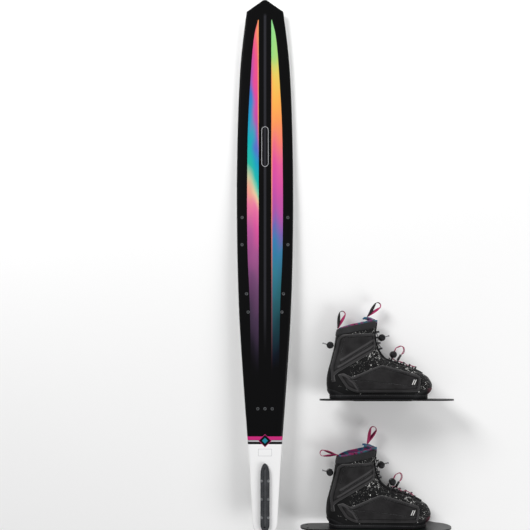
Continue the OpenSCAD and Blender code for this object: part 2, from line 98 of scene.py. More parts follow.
# ---------------------------------------------------------------- ski, in its own frame, in mm
SKI_LENGTH = 1651.0
SKI_HALF = 88.5
SKI_THICKNESS = 24.0
TIP_ROCKER = 55.0
TAIL_ROCKER = 8.0
FLAT_FROM, FLAT_TO = 0.3, 0.545
ROCKER_POWER = 2.2
BASE_LAMINATE = 2.0
OUTLINE = [[-0.06, 0.36], [0.017, 0.435], [0.133, 0.56], [0.272, 0.752], [0.424, 0.927],
           [0.594, 1], [0.745, 0.977], [0.878, 0.87], [0.979, 0.645], [1.03, 0.5]]
THICKNESS = np.array([[0, 0.42], [0.1, 0.55], [0.3, 0.82], [0.5, 1], [0.64, 1], [0.8, 0.76],
                      [0.93, 0.5], [1, 0.4]])
TAIL_END = [[0.0, 0.27], [0.006, 0.38]]
TIP_END = [[1.0, 0.06]]
EDGE = np.vstack([TAIL_END, curve_through(OUTLINE, 5), TIP_END])


def ski_half(y):
    return SKI_HALF * np.interp(y / SKI_LENGTH, EDGE[:, 0], EDGE[:, 1])


def base_z(y):
    f = y / SKI_LENGTH
    if f < FLAT_FROM:
        return TAIL_ROCKER * ((FLAT_FROM - f) / FLAT_FROM) ** 2
    if f > FLAT_TO:
        return TIP_ROCKER * ((f - FLAT_TO) / (1 - FLAT_TO)) ** ROCKER_POWER
    return 0.0


def top_z(y):
    return base_z(y) + SKI_THICKNESS * np.interp(y / SKI_LENGTH, THICKNESS[:, 0], THICKNESS[:, 1])


# ---------------------------------------------------------------- frames of the ski and the boots
mounts = {m["name"]: m for m in frame["record"]["mounts"]}


def local_frame(mount, at, flip=False):
    """Millimetres in a part's own frame, whose X is the row's X, to metres in the row."""
    x = Vector((1, 0, 0))
    z = Vector(mounts[mount]["axis"]).normalized() * (-1 if flip else 1)
    turn = Matrix((x, z.cross(x), z)).transposed()
    origin = Vector(mounts[mount]["pos_m"]) - turn @ (Vector(at) * MM)
    return Matrix.Translation(origin) @ turn.to_4x4() @ Matrix.Scale(MM, 4)


INSERT_ROWS = [[977, 71.5], [892, 71.5], [739, 57.5], [682, 52.5], [382, 22.5], [382, 0]]
INSERTS = [(s * h, y) for y, h in INSERT_ROWS for s in ((-1, 1) if h else (1,))]
INSERT_R = 5.0
INSERT_MID = 5.2
INSERT_DEPTH = 12.2
SKI = local_frame("insert_front_forward_right", (71.5, 977, top_z(977) - INSERT_MID))
BOOT = {b: local_frame(f"{b}_plate_underside", (170, 0, 0), flip=True) for b in BOOTS}


# ---------------------------------------------------------------- mesh building
def link(thing):
    bpy.context.scene.collection.objects.link(thing)
    return thing


def outward(mesh, merge=False):
    """Turns the faces outward, after joining points that meet where asked."""
    work = bmesh.new()
    work.from_mesh(mesh)
    if merge:
        bmesh.ops.remove_doubles(work, verts=work.verts, dist=0.01)
    bmesh.ops.recalc_face_normals(work, faces=work.faces)
    work.to_mesh(mesh)
    work.free()


def grid_faces(rows, cols, wrap=False, caps=False, keep=None):
    faces = []
    for r in range(rows - 1):
        for c in range(cols if wrap else cols - 1):
            if keep is None or keep(r, c):
                d = (c + 1) % cols
                faces.append((r * cols + c, r * cols + d, (r + 1) * cols + d, (r + 1) * cols + c))
    if caps:
        faces.append(tuple(reversed(range(cols))))
        faces.append(tuple((rows - 1) * cols + c for c in range(cols)))
    return faces


class Shape:
    """Vertices, faces and a running coordinate, all in mm in a part's own frame."""

    def __init__(self):
        self.points = []
        self.faces = []
        self.run = []

    def add(self, points, faces, run=None):
        start = len(self.points)
        self.points += [tuple(map(float, p)) for p in points]
        self.faces += [tuple(start + i for i in f) for f in faces]
        self.run += list(run) if run is not None else [(0.0, 0.0, 0.0)] * len(points)
        return self

    def grid(self, array, wrap=False, caps=False, keep=None, run=None):
        rows, cols = array.shape[:2]
        flat = None if run is None else run.reshape(-1, 3)
        return self.add(array.reshape(-1, 3), grid_faces(rows, cols, wrap, caps, keep), flat)

    def moved(self, matrix):
        self.points = [tuple(matrix @ Vector(p)) for p in self.points]
        return self

    def join(self, other):
        return self.add(other.points, other.faces, other.run)


def closed(rows, run=None):
    """Rings joined into one closed skin."""
    return Shape().grid(np.array(rows), wrap=True, caps=True, run=run)


def turn_angles(sides):
    return np.linspace(0, 2 * math.pi, sides, endpoint=False)


def tube(points, radius, sides=10):
    """A round cord. Its running coordinate is the length along it."""
    p = np.array(points, float)
    t = unit(np.gradient(p, axis=0))
    side = np.array([0.31, 0.52, 0.8])
    rings = []
    for i in range(len(p)):
        side = unit(side - side.dot(t[i]) * t[i])
        other = np.cross(t[i], side)
        rings.append([p[i] + radius * (math.cos(a) * side + math.sin(a) * other)
                      for a in turn_angles(sides)])
    run = np.zeros((len(p), sides, 3))
    run[:, :, 0] = running_length(p)[:, None] * MM
    return closed(rings, run)


def lathe(profile, sides=40, flutes=0, depth=0.0, fluted=(0, 0)):
    """A turned piece about Z. profile is radius and height; some of it may be fluted."""
    rings = []
    for r, h in profile:
        ring = []
        for a in turn_angles(sides):
            cut = depth * (0.5 - 0.5 * math.cos(flutes * a)) if fluted[0] < h < fluted[1] else 0.0
            ring.append(((r - cut) * math.cos(a), (r - cut) * math.sin(a), h))
        rings.append(ring)
    return closed(rings)


def plain_mesh(name, shape):
    mesh = bpy.data.meshes.new(name)
    mesh.from_pydata(shape.points, [], shape.faces)
    return mesh


def point_vectors(mesh, name, values):
    """Stores three numbers at each point, for the materials to read."""
    layer = mesh.attributes.new(name, "FLOAT_VECTOR", "POINT")
    layer.data.foreach_set("vector", values)


def dress(name, mesh, place, finish, nodes=(), body=ROOT, sharp=40, merge=False, slot=None):
    """Makes the piece, in place, riding its body and standing for its CAD nodes."""
    outward(mesh, merge)
    coords = np.zeros(len(mesh.vertices) * 3, np.float32)
    mesh.vertices.foreach_get("co", coords)
    point_vectors(mesh, "at", coords * MM)
    mesh.transform(place)
    mesh.polygons.foreach_set("use_smooth", [True] * len(mesh.polygons))
    mesh.set_sharp_from_angle(angle=math.radians(sharp))
    mesh.materials.clear()
    material, usual_slot = FINISHES[finish]
    mesh.materials.append(material)
    piece = link(bpy.data.objects.new(name, mesh))
    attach(piece, body)
    if nodes:
        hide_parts(*nodes)
    return piece


def build(name, shape, place, finish, nodes=(), **rest):
    mesh = plain_mesh(name, shape)
    point_vectors(mesh, "run", np.array(shape.run, np.float32).ravel())
    return dress(name, mesh, place, finish, nodes, **rest)


def boot_piece(b, name, shape, finish, node=None, **rest):
    """A piece of boot b; node is the CAD node that it stands for, without the boot's name."""
    nodes = (f"{b}_{node}",) if node else ()
    return build(f"{b}_{name}", shape, BOOT[b], finish, nodes, **rest)


def rounded_edges(piece, width, segments, from_angle):
    edges = piece.modifiers.new("edges", "BEVEL")
    edges.width = width * MM
    edges.segments = segments
    edges.limit_method = "ANGLE"
    edges.angle_limit = math.radians(from_angle)
    return edges


def finished(node, place, finish, bevel, body=ROOT, segments=2):
    """The CAD node's own shape, with its edges rounded over."""
    mesh = frame["nodes"][node].data.copy()
    work = bmesh.new()
    work.from_mesh(mesh)
    bmesh.ops.remove_doubles(work, verts=work.verts, dist=2e-6)
    bmesh.ops.dissolve_limit(work, angle_limit=math.radians(1), verts=work.verts, edges=work.edges)
    work.to_mesh(mesh)
    work.free()
    for extra in ("custom_normal", "sharp_edge", "sharp_face"):
        if extra in mesh.attributes:
            mesh.attributes.remove(mesh.attributes[extra])
    mesh.transform(place.inverted())
    piece = dress(f"{node}_finish", mesh, place, finish, (node,), body)
    rounded_edges(piece, bevel, segments, 35).harden_normals = True


# ---------------------------------------------------------------- materials
def linear(code):
    """A colour written as rrggbb, as the shader wants it."""
    parts = [int(code[i:i + 2], 16) / 255 for i in (0, 2, 4)]
    return [p / 12.92 if p <= 0.04045 else ((p + 0.055) / 1.055) ** 2.4 for p in parts] + [1.0]


SOFT_EDGE = 0.0004


class Value:
    """A number or colour in a material, which plain sums work on."""

    def __init__(self, paint, socket):
        self.paint = paint
        self.socket = socket

    def do(self, operation, *others):
        return self.paint.value("Math", enumerate((self,) + others), operation=operation)

    def __add__(self, other):
        return self.do("ADD", other)

    def __sub__(self, other):
        return self.do("SUBTRACT", other)

    def __mul__(self, other):
        return self.do("MULTIPLY", other)

    def __rsub__(self, other):
        return (self * -1.0) + other

    __radd__ = __add__
    __rmul__ = __mul__

    def abs(self):
        return self.do("ABSOLUTE")

    def sin(self):
        return self.do("SINE")

    def min(self, other):
        return self.do("MINIMUM", other)

    def max(self, other):
        return self.do("MAXIMUM", other)

    def spread(self, low, high, to_low=0.0, to_high=1.0, kind="SMOOTHSTEP"):
        """to_low at or below low, to_high at or above high, and smoothly between them."""
        inputs = enumerate((self, low, high, to_low, to_high))
        return self.paint.value("MapRange", inputs, interpolation_type=kind)

    def over(self, limit, soft=SOFT_EDGE):
        """1 where this is over the limit, 0 where it is under, with a soft edge."""
        return (self - limit).spread(-soft / 2, soft / 2, kind="LINEAR")

    def under(self, limit, soft=SOFT_EDGE):
        return 1.0 - self.over(limit, soft)

    def between(self, low, high, soft=SOFT_EDGE):
        return self.over(low, soft) * self.under(high, soft)


class Paint:
    """One procedural material."""

    def __init__(self, name, **sockets):
        self.material = bpy.data.materials.new(name)
        self.material.use_nodes = True
        self.tree = self.material.node_tree
        self.shader = self.tree.nodes["Principled BSDF"]
        for key, value in sockets.items():
            self.shader.inputs[key.replace("_", " ")].default_value = value

    def plug(self, value, socket):
        if isinstance(value, Value):
            self.tree.links.new(value.socket, socket)
        else:
            socket.default_value = linear(value) if isinstance(value, str) else value

    def node(self, kind, inputs, **settings):
        """A new node with its settings, and its inputs by name or number."""
        node = self.tree.nodes.new("ShaderNode" + kind)
        for key, value in settings.items():
            setattr(node, key, value)
        for key, value in inputs:
            self.plug(value, node.inputs[key])
        return node

    def value(self, kind, inputs, output=0, **settings):
        return Value(self, self.node(kind, inputs, **settings).outputs[output])

    def attribute(self, name):
        return self.value("Attribute", (), "Vector", attribute_name=name)

    def split(self, vector):
        return [Value(self, socket) for socket in self.node("SeparateXYZ", [(0, vector)]).outputs]

    def vector(self, *parts):
        return self.value("CombineXYZ", enumerate(parts))

    def noise(self, at, scale, detail=3.0, rough=0.5, distortion=0.0):
        return self.value("TexNoise", (("Vector", at), ("Scale", scale), ("Detail", detail),
                                       ("Roughness", rough), ("Distortion", distortion)))

    def cells(self, at, scale, feature="F1", random=1.0):
        inputs = (("Vector", at), ("Scale", scale), ("Randomness", random))
        return self.value("TexVoronoi", inputs, feature=feature)

    def mix(self, share, a, b):
        return self.value("Mix", ((0, share), (6, a), (7, b)), 2, data_type="RGBA")

    def ramp(self, share, stops):
        node = self.node("ValToRGB", [(0, share)])
        bar = node.color_ramp
        for element, (position, code) in zip(bar.elements, (stops[0], stops[-1])):
            element.position = position
            element.color = linear(code)
        for position, code in stops[1:-1]:
            bar.elements.new(position).color = linear(code)
        return Value(self, node.outputs[0])

    def curve(self, share, points):
        node = self.node("FloatCurve", [("Value", share)])
        line = node.mapping.curves[0]
        line.points[0].location = points[0]
        line.points[1].location = points[-1]
        for point in points[1:-1]:
            line.points.new(*point)
        node.mapping.update()
        return Value(self, node.outputs[0])

    def colour(self, value):
        self.plug(value, self.shader.inputs["Base Color"])

    def roughness(self, value):
        self.plug(value, self.shader.inputs["Roughness"])

    def bump(self, height, distance, strength=1.0):
        inputs = (("Strength", strength), ("Distance", distance), ("Height", height))
        self.tree.links.new(self.node("Bump", inputs).outputs[0], self.shader.inputs["Normal"])


# Colours of the two spears on the deck: distance from the tip in mm, and colour
FADE_END = 1150.0
SPEAR_MOST = 60.0
LEFT_INNER = [(62, "f28a6a"), (110, "ee6678"), (170, "ea5288"), (300, "df479a"), (390, "b24fae"),
              (450, "4f74c8"), (500, "1f9fc0"), (545, "22b8ae"), (572, "8fcfae"), (592, "efc6a0"),
              (630, "ec7aa4"), (700, "d9589e"), (780, "a4568e"), (880, "744a72"), (980, "4a3650"),
              (1080, "26202e"), (1150, "121014")]
LEFT_OUTER = [(62, "ee6c72"), (150, "dc4f92"), (220, "a655b0"), (290, "3f74c6"), (370, "1f96c2"),
              (450, "12aeb4"), (530, "2cb8a2"), (575, "c8c8a0"), (610, "f0a48e"), (660, "e878a0"),
              (740, "b8589a"), (850, "7c4a78"), (980, "46344c"), (1080, "221c28"), (1150, "100e12")]
RIGHT_INNER = [(62, "8fd88c"), (175, "98d67c"), (210, "cfd069"), (250, "f0c258"), (320, "f9ac52"),
               (385, "f8935e"), (440, "ee6f86"), (500, "e0539e"), (570, "cf4fa6"), (640, "ac54a8"),
               (690, "686ab4"), (740, "377fb2"), (830, "347d92"), (930, "2a5f6b"), (1030, "1a3540"),
               (1110, "10182a"), (1150, "0c0c12")]
RIGHT_OUTER = [(62, "8fd88c"), (190, "a4d678"), (235, "e6cc60"), (300, "f9b153"), (385, "f99a58"),
               (455, "f6806e"), (525, "e6609a"), (600, "da55a2"), (680, "bd56a8"), (735, "7d62b0"),
               (790, "3d7ea6"), (900, "2e6b76"), (1000, "1d424a"), (1090, "111a28"), (1150, "0c0c12")]
EDGE_LINE = [(0, "f7a060"), (420, "f98f5e"), (560, "f79a78"), (700, "ee8a70"), (900, "8a5560"),
             (1150, "1a1418")]
# Distance from the tip, and the spear's outer edge from the middle line, in mm
SPEAR_EDGE = [(50, 19), (62, 22), (129, 36), (257, 46), (386, 53), (480, 55), (750, 55), (960, 47),
              (1150, 44)]
# Distances from the tip and from the middle line, in metres
SPEAR_INNER = 0.0198
SPEAR_FROM = 0.06
SPEAR_FADE = (1.04, 1.2)
EDGE_LINE_WIDTH = 0.0052
LEFT_LINE_FADE = (0.36, 0.5)
RIGHT_LINE_START = (0.17, 0.25)
STRIPE = (0.045, 1.12)
STRIPE_FADE = (0.9, 1.12)
STRIPE_HALF = 0.004
CAPSULE_MIDDLE = 0.452
CAPSULE_HALF = 0.052
CAPSULE_LINE = (0.0096, 0.0107)
PINK_BAND = (1.3545, 1.3655)
GREY_BAND = (1.3665, 1.371)
WHITE_FROM = 1.3785
DIAMOND_MIDDLE = 1.3675
DIAMONDS = [(0.0203, "b62a70"), (0.0183, "0b0b0d"), (0.009, "1f7f94")]
EMPTY_FRAME_MIDDLE = 1.404
EMPTY_FRAME_HALF = (0.021, 0.011)
EMPTY_FRAME_LINE = 0.0007


def along_fade(stops):
    """Stops in mm from the tip, as shares of the fade's length."""
    return [(distance / FADE_END, code) for distance, code in stops]


def spear_colours(paint, x, y, d, u):
    """Two swirled ramps on each side, with a warm line along the inner edge; and their outer edge."""
    swirl = paint.noise(paint.vector(x * 3.0, y, 0.0), 5.5, 2.0, 0.45, 0.6) - 0.5
    share = (d + swirl * 0.1 + (u - 0.035) * 1.1) * (1000 / FADE_END)
    straight_share = d * (1000 / FADE_END)
    edge = [(distance / FADE_END, half / SPEAR_MOST) for distance, half in SPEAR_EDGE]
    outer = paint.curve(straight_share, edge) * (SPEAR_MOST * MM)
    across = (u - SPEAR_INNER).do("DIVIDE", (outer - SPEAR_INNER).max(0.001))
    outward_share = (across + swirl * 0.9).spread(0.25, 0.85)
    ramps = [paint.ramp(share, along_fade(stops))
             for stops in (LEFT_INNER, LEFT_OUTER, RIGHT_INNER, RIGHT_OUTER)]
    left = paint.mix(outward_share, ramps[0], ramps[1])
    right = paint.mix(outward_share, ramps[2], ramps[3])
    on_right = x.over(0.0)
    colours = paint.mix(on_right, left, right)
    shown = paint.mix(on_right, 1.0 - d.spread(*LEFT_LINE_FADE), d.spread(*RIGHT_LINE_START))
    line = (1.0 - u.spread(SPEAR_INNER, SPEAR_INNER + EDGE_LINE_WIDTH)) * shown
    colours = paint.mix(line, colours, paint.ramp(straight_share, along_fade(EDGE_LINE)))
    return paint.mix(0.14, colours, "000000"), outer


def deck_paint():
    paint = Paint("deck", Roughness=0.3, Specular_IOR_Level=0.09, Coat_Weight=0.03, Coat_Roughness=0.12)
    at = paint.attribute("at")
    x, y, _ = paint.split(at)
    d = SKI_LENGTH * MM - y
    u = x.abs()
    colours, outer = spear_colours(paint, x, y, d, u)
    weave = paint.cells(paint.vector(x, y, 0.0), 520, random=0.0)
    black = paint.mix(weave, "060607", "0d0d0e")
    stripe = u.under(STRIPE_HALF) * d.between(*STRIPE, 0.01)
    colour = paint.mix(stripe * d.spread(*STRIPE_FADE, 0.9, 0.0), black, "2b2b30")
    spear = u.over(SPEAR_INNER) * (outer - u).over(0.0) * d.over(SPEAR_FROM)
    colour = paint.mix(spear * d.spread(*SPEAR_FADE, 1.0, 0.0), colour, colours)
    # A plain capsule outline in the middle of the forebody
    beyond = ((d - CAPSULE_MIDDLE).abs() - CAPSULE_HALF).max(0.0)
    from_line = (beyond * beyond + u * u).do("SQRT")
    colour = paint.mix(from_line.between(*CAPSULE_LINE), colour, "c9cacd")
    # Bands, and the white tail
    colour = paint.mix(d.between(*PINK_BAND), colour, "c22d77")
    colour = paint.mix(d.between(*GREY_BAND), colour, "b4b4b8")
    tail = paint.mix(paint.noise(at, 9.0), "e9e9ea", "f2f2f2")
    colour = paint.mix(d.over(WHITE_FROM), colour, tail)
    # A plain two-tone diamond across the bands
    diamond = u + (d - DIAMOND_MIDDLE).abs()
    for half, code in DIAMONDS:
        colour = paint.mix(diamond.under(half), colour, code)
    # A plain empty frame on the white tail
    past_side = u - EMPTY_FRAME_HALF[0]
    past_end = (d - EMPTY_FRAME_MIDDLE).abs() - EMPTY_FRAME_HALF[1]
    outline = past_side.max(past_end).between(-EMPTY_FRAME_LINE, 0.0)
    paint.colour(paint.mix(outline, colour, "8f8f94"))
    paint.roughness((paint.noise(at, 14.0) * 0.12) + 0.24)
    paint.bump(paint.noise(at, 260, 4.0, 0.6) + weave * 0.4, 0.00006, 0.35)
    return paint.material


def base_paint():
    """White moulded base with fine scratches along its length."""
    paint = Paint("base", Roughness=0.35, Coat_Weight=0.3)
    at = paint.attribute("at")
    x, y, _ = paint.split(at)
    scratch = paint.noise(paint.vector(x * 14.0, y * 0.6, 0.0), 40, 4.0)
    paint.colour(paint.mix(scratch, "e4e4e3", "f3f3f1"))
    paint.roughness(scratch * 0.25 + 0.22)
    paint.bump(scratch, 0.0001, 0.3)
    return paint.material


def metal_paint(name, dark, light, low, stretch, metallic=1.0):
    """Brushed or blasted metal; stretch sets how far the brushing runs along each axis."""
    paint = Paint(name, Metallic=metallic)
    at = paint.attribute("at")
    stretched = paint.vector(*[axis * s for axis, s in zip(paint.split(at), stretch)])
    lines = paint.noise(stretched, 60, 5.0, 0.65)
    wear = paint.noise(at, 30, 4.0)
    paint.colour(paint.mix(lines * wear * 1.8, dark, light))
    paint.roughness(lines * 0.25 + low)
    paint.bump(lines, 0.00008, 0.4)
    return paint.material


def plastic_paint(name, dark, light, low, grain, depth, coat=0.0, shine=0.25):
    """Moulded plastic with a fine pebble grain; low is its least roughness."""
    paint = Paint(name, Coat_Weight=coat, Coat_Roughness=0.2, Specular_IOR_Level=shine)
    at = paint.attribute("at")
    fine = paint.cells(at, grain)
    wide = paint.noise(at, 22, 4.0, 0.6)
    paint.colour(paint.mix(wide.spread(0.3, 0.75), dark, light))
    paint.roughness(wide * 0.2 + low)
    paint.bump(fine + wide * 0.3, depth, 0.5)
    return paint.material


def sole_paint():
    """Matt black rubber that turns dull red at the toe."""
    paint = Paint("sole_rubber", Specular_IOR_Level=0.18)
    at = paint.attribute("at")
    x, _, z = paint.split(at)
    wide = paint.noise(at, 30, 4.0, 0.6)
    toe = x.spread(0.3, 0.322) * z.spread(0.006, 0.012)
    paint.colour(paint.mix(toe * 0.55, paint.mix(wide, "0c0c0d", "1a1a1c"), "6d2a3c"))
    paint.roughness(wide * 0.2 + 0.5)
    paint.bump(paint.noise(at, 900, 3.0), 0.00012, 0.6)
    return paint.material


# Threads of a knit, in radians per metre
FINE_THREADS = 2600
KNIT_THREADS = 2400
LINING_THREADS = 2200


def speckled_paint():
    """Black coated knit printed with pale ragged flecks."""
    paint = Paint("speckled_knit", Specular_IOR_Level=0.14, Sheen_Weight=0.03, Sheen_Roughness=0.5)
    at = paint.attribute("at")
    x, y, z = paint.split(at)
    turned = paint.vector(x + z * 0.25, y, z - x * 0.3)
    ragged = paint.noise(turned, 150, 5.0, 0.62, 1.3)
    patches = paint.noise(at, 24, 2.0, 0.5)
    # Few flecks at the heel and just above the sole
    above_sole = (1.0 - z.spread(0.032, 0.046)) * (1.0 - x.spread(0.26, 0.28))
    plain = (1.0 - x.spread(0.05, 0.09)).max(above_sole)
    fleck = (ragged + patches * 0.24 - plain * 0.09).over(0.748, 0.03)
    small = paint.noise(at, 420, 2.0, 0.5, 0.5).over(0.69, 0.03) * (1.0 - plain)
    threads = (x * FINE_THREADS).sin() * (z * FINE_THREADS).sin()
    dark = paint.mix(threads * 0.5 + 0.5, "060607", "111112")
    paint.colour(paint.mix(fleck.max(small * 0.35), dark, "d2d2cf"))
    paint.roughness(0.62 - fleck * 0.2)
    paint.bump(threads * 0.4 + ragged, 0.00025, 0.5)
    return paint.material


def knit_paint(name, dark, light, sheen=0.08):
    """Plain neoprene with a fine knit face."""
    paint = Paint(name, Specular_IOR_Level=0.16, Sheen_Weight=sheen, Sheen_Roughness=0.4, Roughness=0.8)
    at = paint.attribute("at")
    x, y, z = paint.split(at)
    rib = (x * KNIT_THREADS + y * 900).sin() * (z * KNIT_THREADS).sin()
    wide = paint.noise(at, 30, 4.0, 0.6)
    paint.colour(paint.mix(wide * 0.7 + rib * 0.2, dark, light))
    paint.bump(rib * 0.5 + wide, 0.0003, 0.5)
    return paint.material


# Two plain slanted bars: their middle, slant, nearest and farthest edge, and half height
MARK_AT = (0.262, 0.056)
MARK_SLANT = 0.45
MARK_EDGES = (0.0016, 0.0042)
MARK_HALF = 0.0075


def panel_paint():
    """Dark grey moulded sheet with a leather-like grain and two plain pale bars. Its raised ribs carry a
    painted highlight, its sunk grooves carry painted shade, and its lighter rim is partly wear and partly a
    painted highlight.
    """
    paint = Paint("moulded_panel", Specular_IOR_Level=0.14)
    at = paint.attribute("at")
    x, _, z = paint.split(at)
    grain = paint.cells(at, 620, "DISTANCE_TO_EDGE")
    wide = paint.noise(at, 26, 4.0, 0.6)
    up = z - MARK_AT[1]
    ahead = (x - MARK_AT[0] - up * MARK_SLANT).abs()
    bars = ahead.between(*MARK_EDGES) * up.abs().under(MARK_HALF)
    relief, near, _ = paint.split(paint.attribute("run"))
    fine = paint.noise(at, 520, 2.0, 0.6)
    base = paint.mix(wide.spread(0.3, 0.7) * 0.6 + fine * 0.4, "121112", "2b2a2b")
    # Painted highlight: the raised ribs are painted lighter grey.
    base = paint.mix(relief.spread(0.25, 0.8), base, "3c3b3c")
    # Painted shade: the sunk grooves are painted near black.
    base = paint.mix(relief.spread(-0.5, -0.15, 1.0, 0.0), base, "040404")
    # Lighter along the rim: partly wear, partly a painted highlight.
    base = paint.mix(near.spread(0.5, 1.9, 0.7, 0.0), base, "5a5a5a")
    paint.colour(paint.mix(bars, base, "d5d5d3"))
    paint.roughness(wide * 0.18 + 0.36)
    flat_share = relief.spread(0.2, 0.6, 1.0, 0.3)
    paint.bump((grain.min(0.18) * 4.0 + fine) * flat_share + wide * 0.2, 0.0003, 0.7)
    return paint.material


def lining_paint():
    """Bright printed knit."""
    paint = Paint("printed_lining", Sheen_Weight=0.15, Roughness=0.8, Specular_IOR_Level=0.3)
    at = paint.attribute("at")
    x, y, z = paint.split(at)
    swirl = paint.noise(paint.vector(x, y * 0.6, z * 1.4), 17, 2.0, 0.5, 1.4)
    colours = paint.ramp(swirl, [(0.3, "0e0d12"), (0.4, "2c2a5c"), (0.47, "285a88"), (0.52, "33707c"),
                                 (0.56, "6c3568"), (0.63, "a62a68"), (0.72, "3a1834")])
    threads = (x * LINING_THREADS).sin() * (z * LINING_THREADS).sin()
    paint.colour(paint.mix(threads * 0.2 + 0.2, colours, "101014"))
    paint.bump(threads, 0.0003, 0.5)
    return paint.material


def braid_paint(name, dark, light, fleck):
    """Braided round cord with a tracer thread of the fleck colour along it."""
    paint = Paint(name, Sheen_Weight=0.3, Roughness=0.6)
    along = paint.split(paint.attribute("run"))[0]
    y = paint.split(paint.attribute("at"))[1]
    braid = (along * 4200 + y * 2600).sin().max((along * 4200 - y * 2600).sin())
    tracer = (along * 1050 + y * 900).sin().over(0.62, 0.1)
    paint.colour(paint.mix(tracer, paint.mix(braid * 0.5 + 0.5, dark, light), fleck))
    paint.bump(braid, 0.0003, 0.8)
    return paint.material


def webbing_paint(name, face, back, split_across):
    """Flat woven webbing: run is the length along it, -1 to 1 across it, and its share of the loop."""
    paint = Paint(name, Sheen_Weight=0.08, Roughness=0.75, Specular_IOR_Level=0.2)
    along, across, side = paint.split(paint.attribute("run"))
    weave = (along * 3600).sin() * (across * 26).sin()
    if split_across:
        share = across.abs().under(0.4, 0.1) * (along * 40).sin().spread(-0.5, 0.6, 0.15, 0.85)
    else:
        share = side.over(0.5, 0.1)
    colour = paint.mix(share, face, back)
    paint.colour(paint.mix(weave * 0.18 + 0.18, colour, "120a10"))
    paint.bump(weave, 0.00035, 0.8)
    return paint.material


# Each finish's material, and the slot of the record that it stands for
FINISHES = {
    "deck": (deck_paint(), "carbon_top"),
    "base": (base_paint(), "white_base"),
    "steel": (metal_paint("steel", "77797c", "c2c4c7", 0.22, (8, 1, 8)), "steel"),
    "insert": (metal_paint("insert_metal", "55575a", "96989b", 0.3, (4, 4, 4)), "steel"),
    "anodised": (metal_paint("anodised", "36373a", "5a5c60", 0.36, (3, 3, 3), 0.75), "anodised"),
    "fin_alloy": (metal_paint("fin_alloy", "8d9094", "d3d6d9", 0.2, (2, 0.3, 12)), "fin_alloy"),
    "plate": (plastic_paint("plate_plastic", "0a0a0b", "151517", 0.26, 500, 0.0001, 0.1), "black_plate"),
    "plastic": (plastic_paint("lock_plastic", "070708", "161618", 0.22, 700, 0.00012, 0.1, 0.4),
                "black_plastic"),
    "guide": (plastic_paint("guide_plastic", "141416", "242427", 0.38, 700, 0.00012), "black_plastic"),
    "rubber": (sole_paint(), "rubber"),
    "speckled": (speckled_paint(), "speckled_fabric"),
    "neoprene": (knit_paint("neoprene", "0b0b0c", "18181a"), "neoprene"),
    "collar": (knit_paint("collar_knit", "1c1c1d", "3b3b3d"), "neoprene"),
    "foam": (knit_paint("insole_foam", "1c1c20", "2d2d33", 0.1), "foam_lining"),
    "panel": (panel_paint(), "moulded_panel"),
    "lining": (lining_paint(), "lining"),
    "magenta_lace": (braid_paint("magenta_braid", "5a1030", "c02d68", "1a1014"), "magenta_lace"),
    "black_lace": (braid_paint("black_braid", "0b0b0c", "242426", "8f8f92"), "black_lace"),
    "front_webbing": (webbing_paint("front_webbing", "c0286a", "060506", False), "webbing"),
    "rear_webbing": (webbing_paint("rear_webbing", "b32662", "0a0809", True), "webbing"),
    "thread": (plastic_paint("stitch_thread", "3c3c3e", "6a6a6c", 0.55, 900, 0.00008), "moulded_panel"),
}


# ---------------------------------------------------------------- camera
CAMERA_HEIGHT = 2.62
CAMERA_AHEAD = 0.0695
CAMERA_TILT = -1.5
VIEW_ANGLE = 35.5
camera_data = bpy.data.cameras.new("camera")
camera_data.angle = math.radians(VIEW_ANGLE)
camera_data.clip_end = 50
camera = bpy.data.objects.new("camera", camera_data)
ski_lo, ski_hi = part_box("top_laminate")
camera.location = ((ski_lo[0] + ski_hi[0]) / 2, (ski_lo[1] + ski_hi[1]) / 2 + CAMERA_AHEAD,
                   CAMERA_HEIGHT)
camera.rotation_euler.x = math.radians(CAMERA_TILT)
link(camera)
bpy.context.scene.camera = camera


# ---------------------------------------------------------------- cord locks and their cords
LOCKS = {"instep": ((203.5, 131), 66), "ankle": ((163, 190), 15), "heel": ((22.5, 167), 165)}
LOCK_R = 10.5
LOCK_LENGTH = 19.0
BUTTON_R = 6.5
BUTTON_TRAVEL = 3.5
BUTTON_OUT = 6.0
CORD_HALF = 3.4
CORD_R = 1.2
STRAND = 2 * LOCK_R + 12
# The loose ends' routes from the lock to the clip, in the lock's frame
TAILS = {
    "front": [[CORD_HALF, 0, 30], [4, 3, 37], [4, 10, 44], [3, 19, 43], [2, 24, 35], [1.8, 24, 26],
              [1.6, 22, 20]],
    "rear": [[CORD_HALF, 0, 30], [3.4, 2, 38], [3, 8, 44], [2.6, 15, 42], [2.2, 19, 35],
             [1.8, 20, 26], [1.6, 19, 20]]}


def lock_place(name):
    """Millimetres in a lock's frame (X to the button, Z along the cord) to the boot's frame."""
    (x, z), angle = LOCKS[name]
    a = math.radians(angle)
    along = Vector((math.cos(a), 0, math.sin(a)))
    forward = Vector((math.sin(a), 0, -math.cos(a)))
    across = Vector((0, -1, 0))
    turn = Matrix((across, forward, along)).transposed().to_4x4()
    return Matrix.Translation((x, 0, z)) @ turn


def tail_path(kind, second):
    """One strand's route; the second is the first's mirror image, a little wider in between."""
    points = np.array(TAILS[kind], float)
    if second:
        points[:, 0] *= -1
        points[1:-1] += [0, 3.5, 3.5 / 3]
    end = 2 * points[-1] - points[-2]
    run = np.vstack([[points[0][0], 0, -20], [points[0][0], 0, 0.3], points, end])
    place = lock_place("instep")
    return np.array([place @ Vector(p) for p in curve_through(run, 6)])


CLIP_LENGTH = 19.0
CLIP_R = 3.8
CLIP_GAP = 0.6
CLIP_TILT = 172


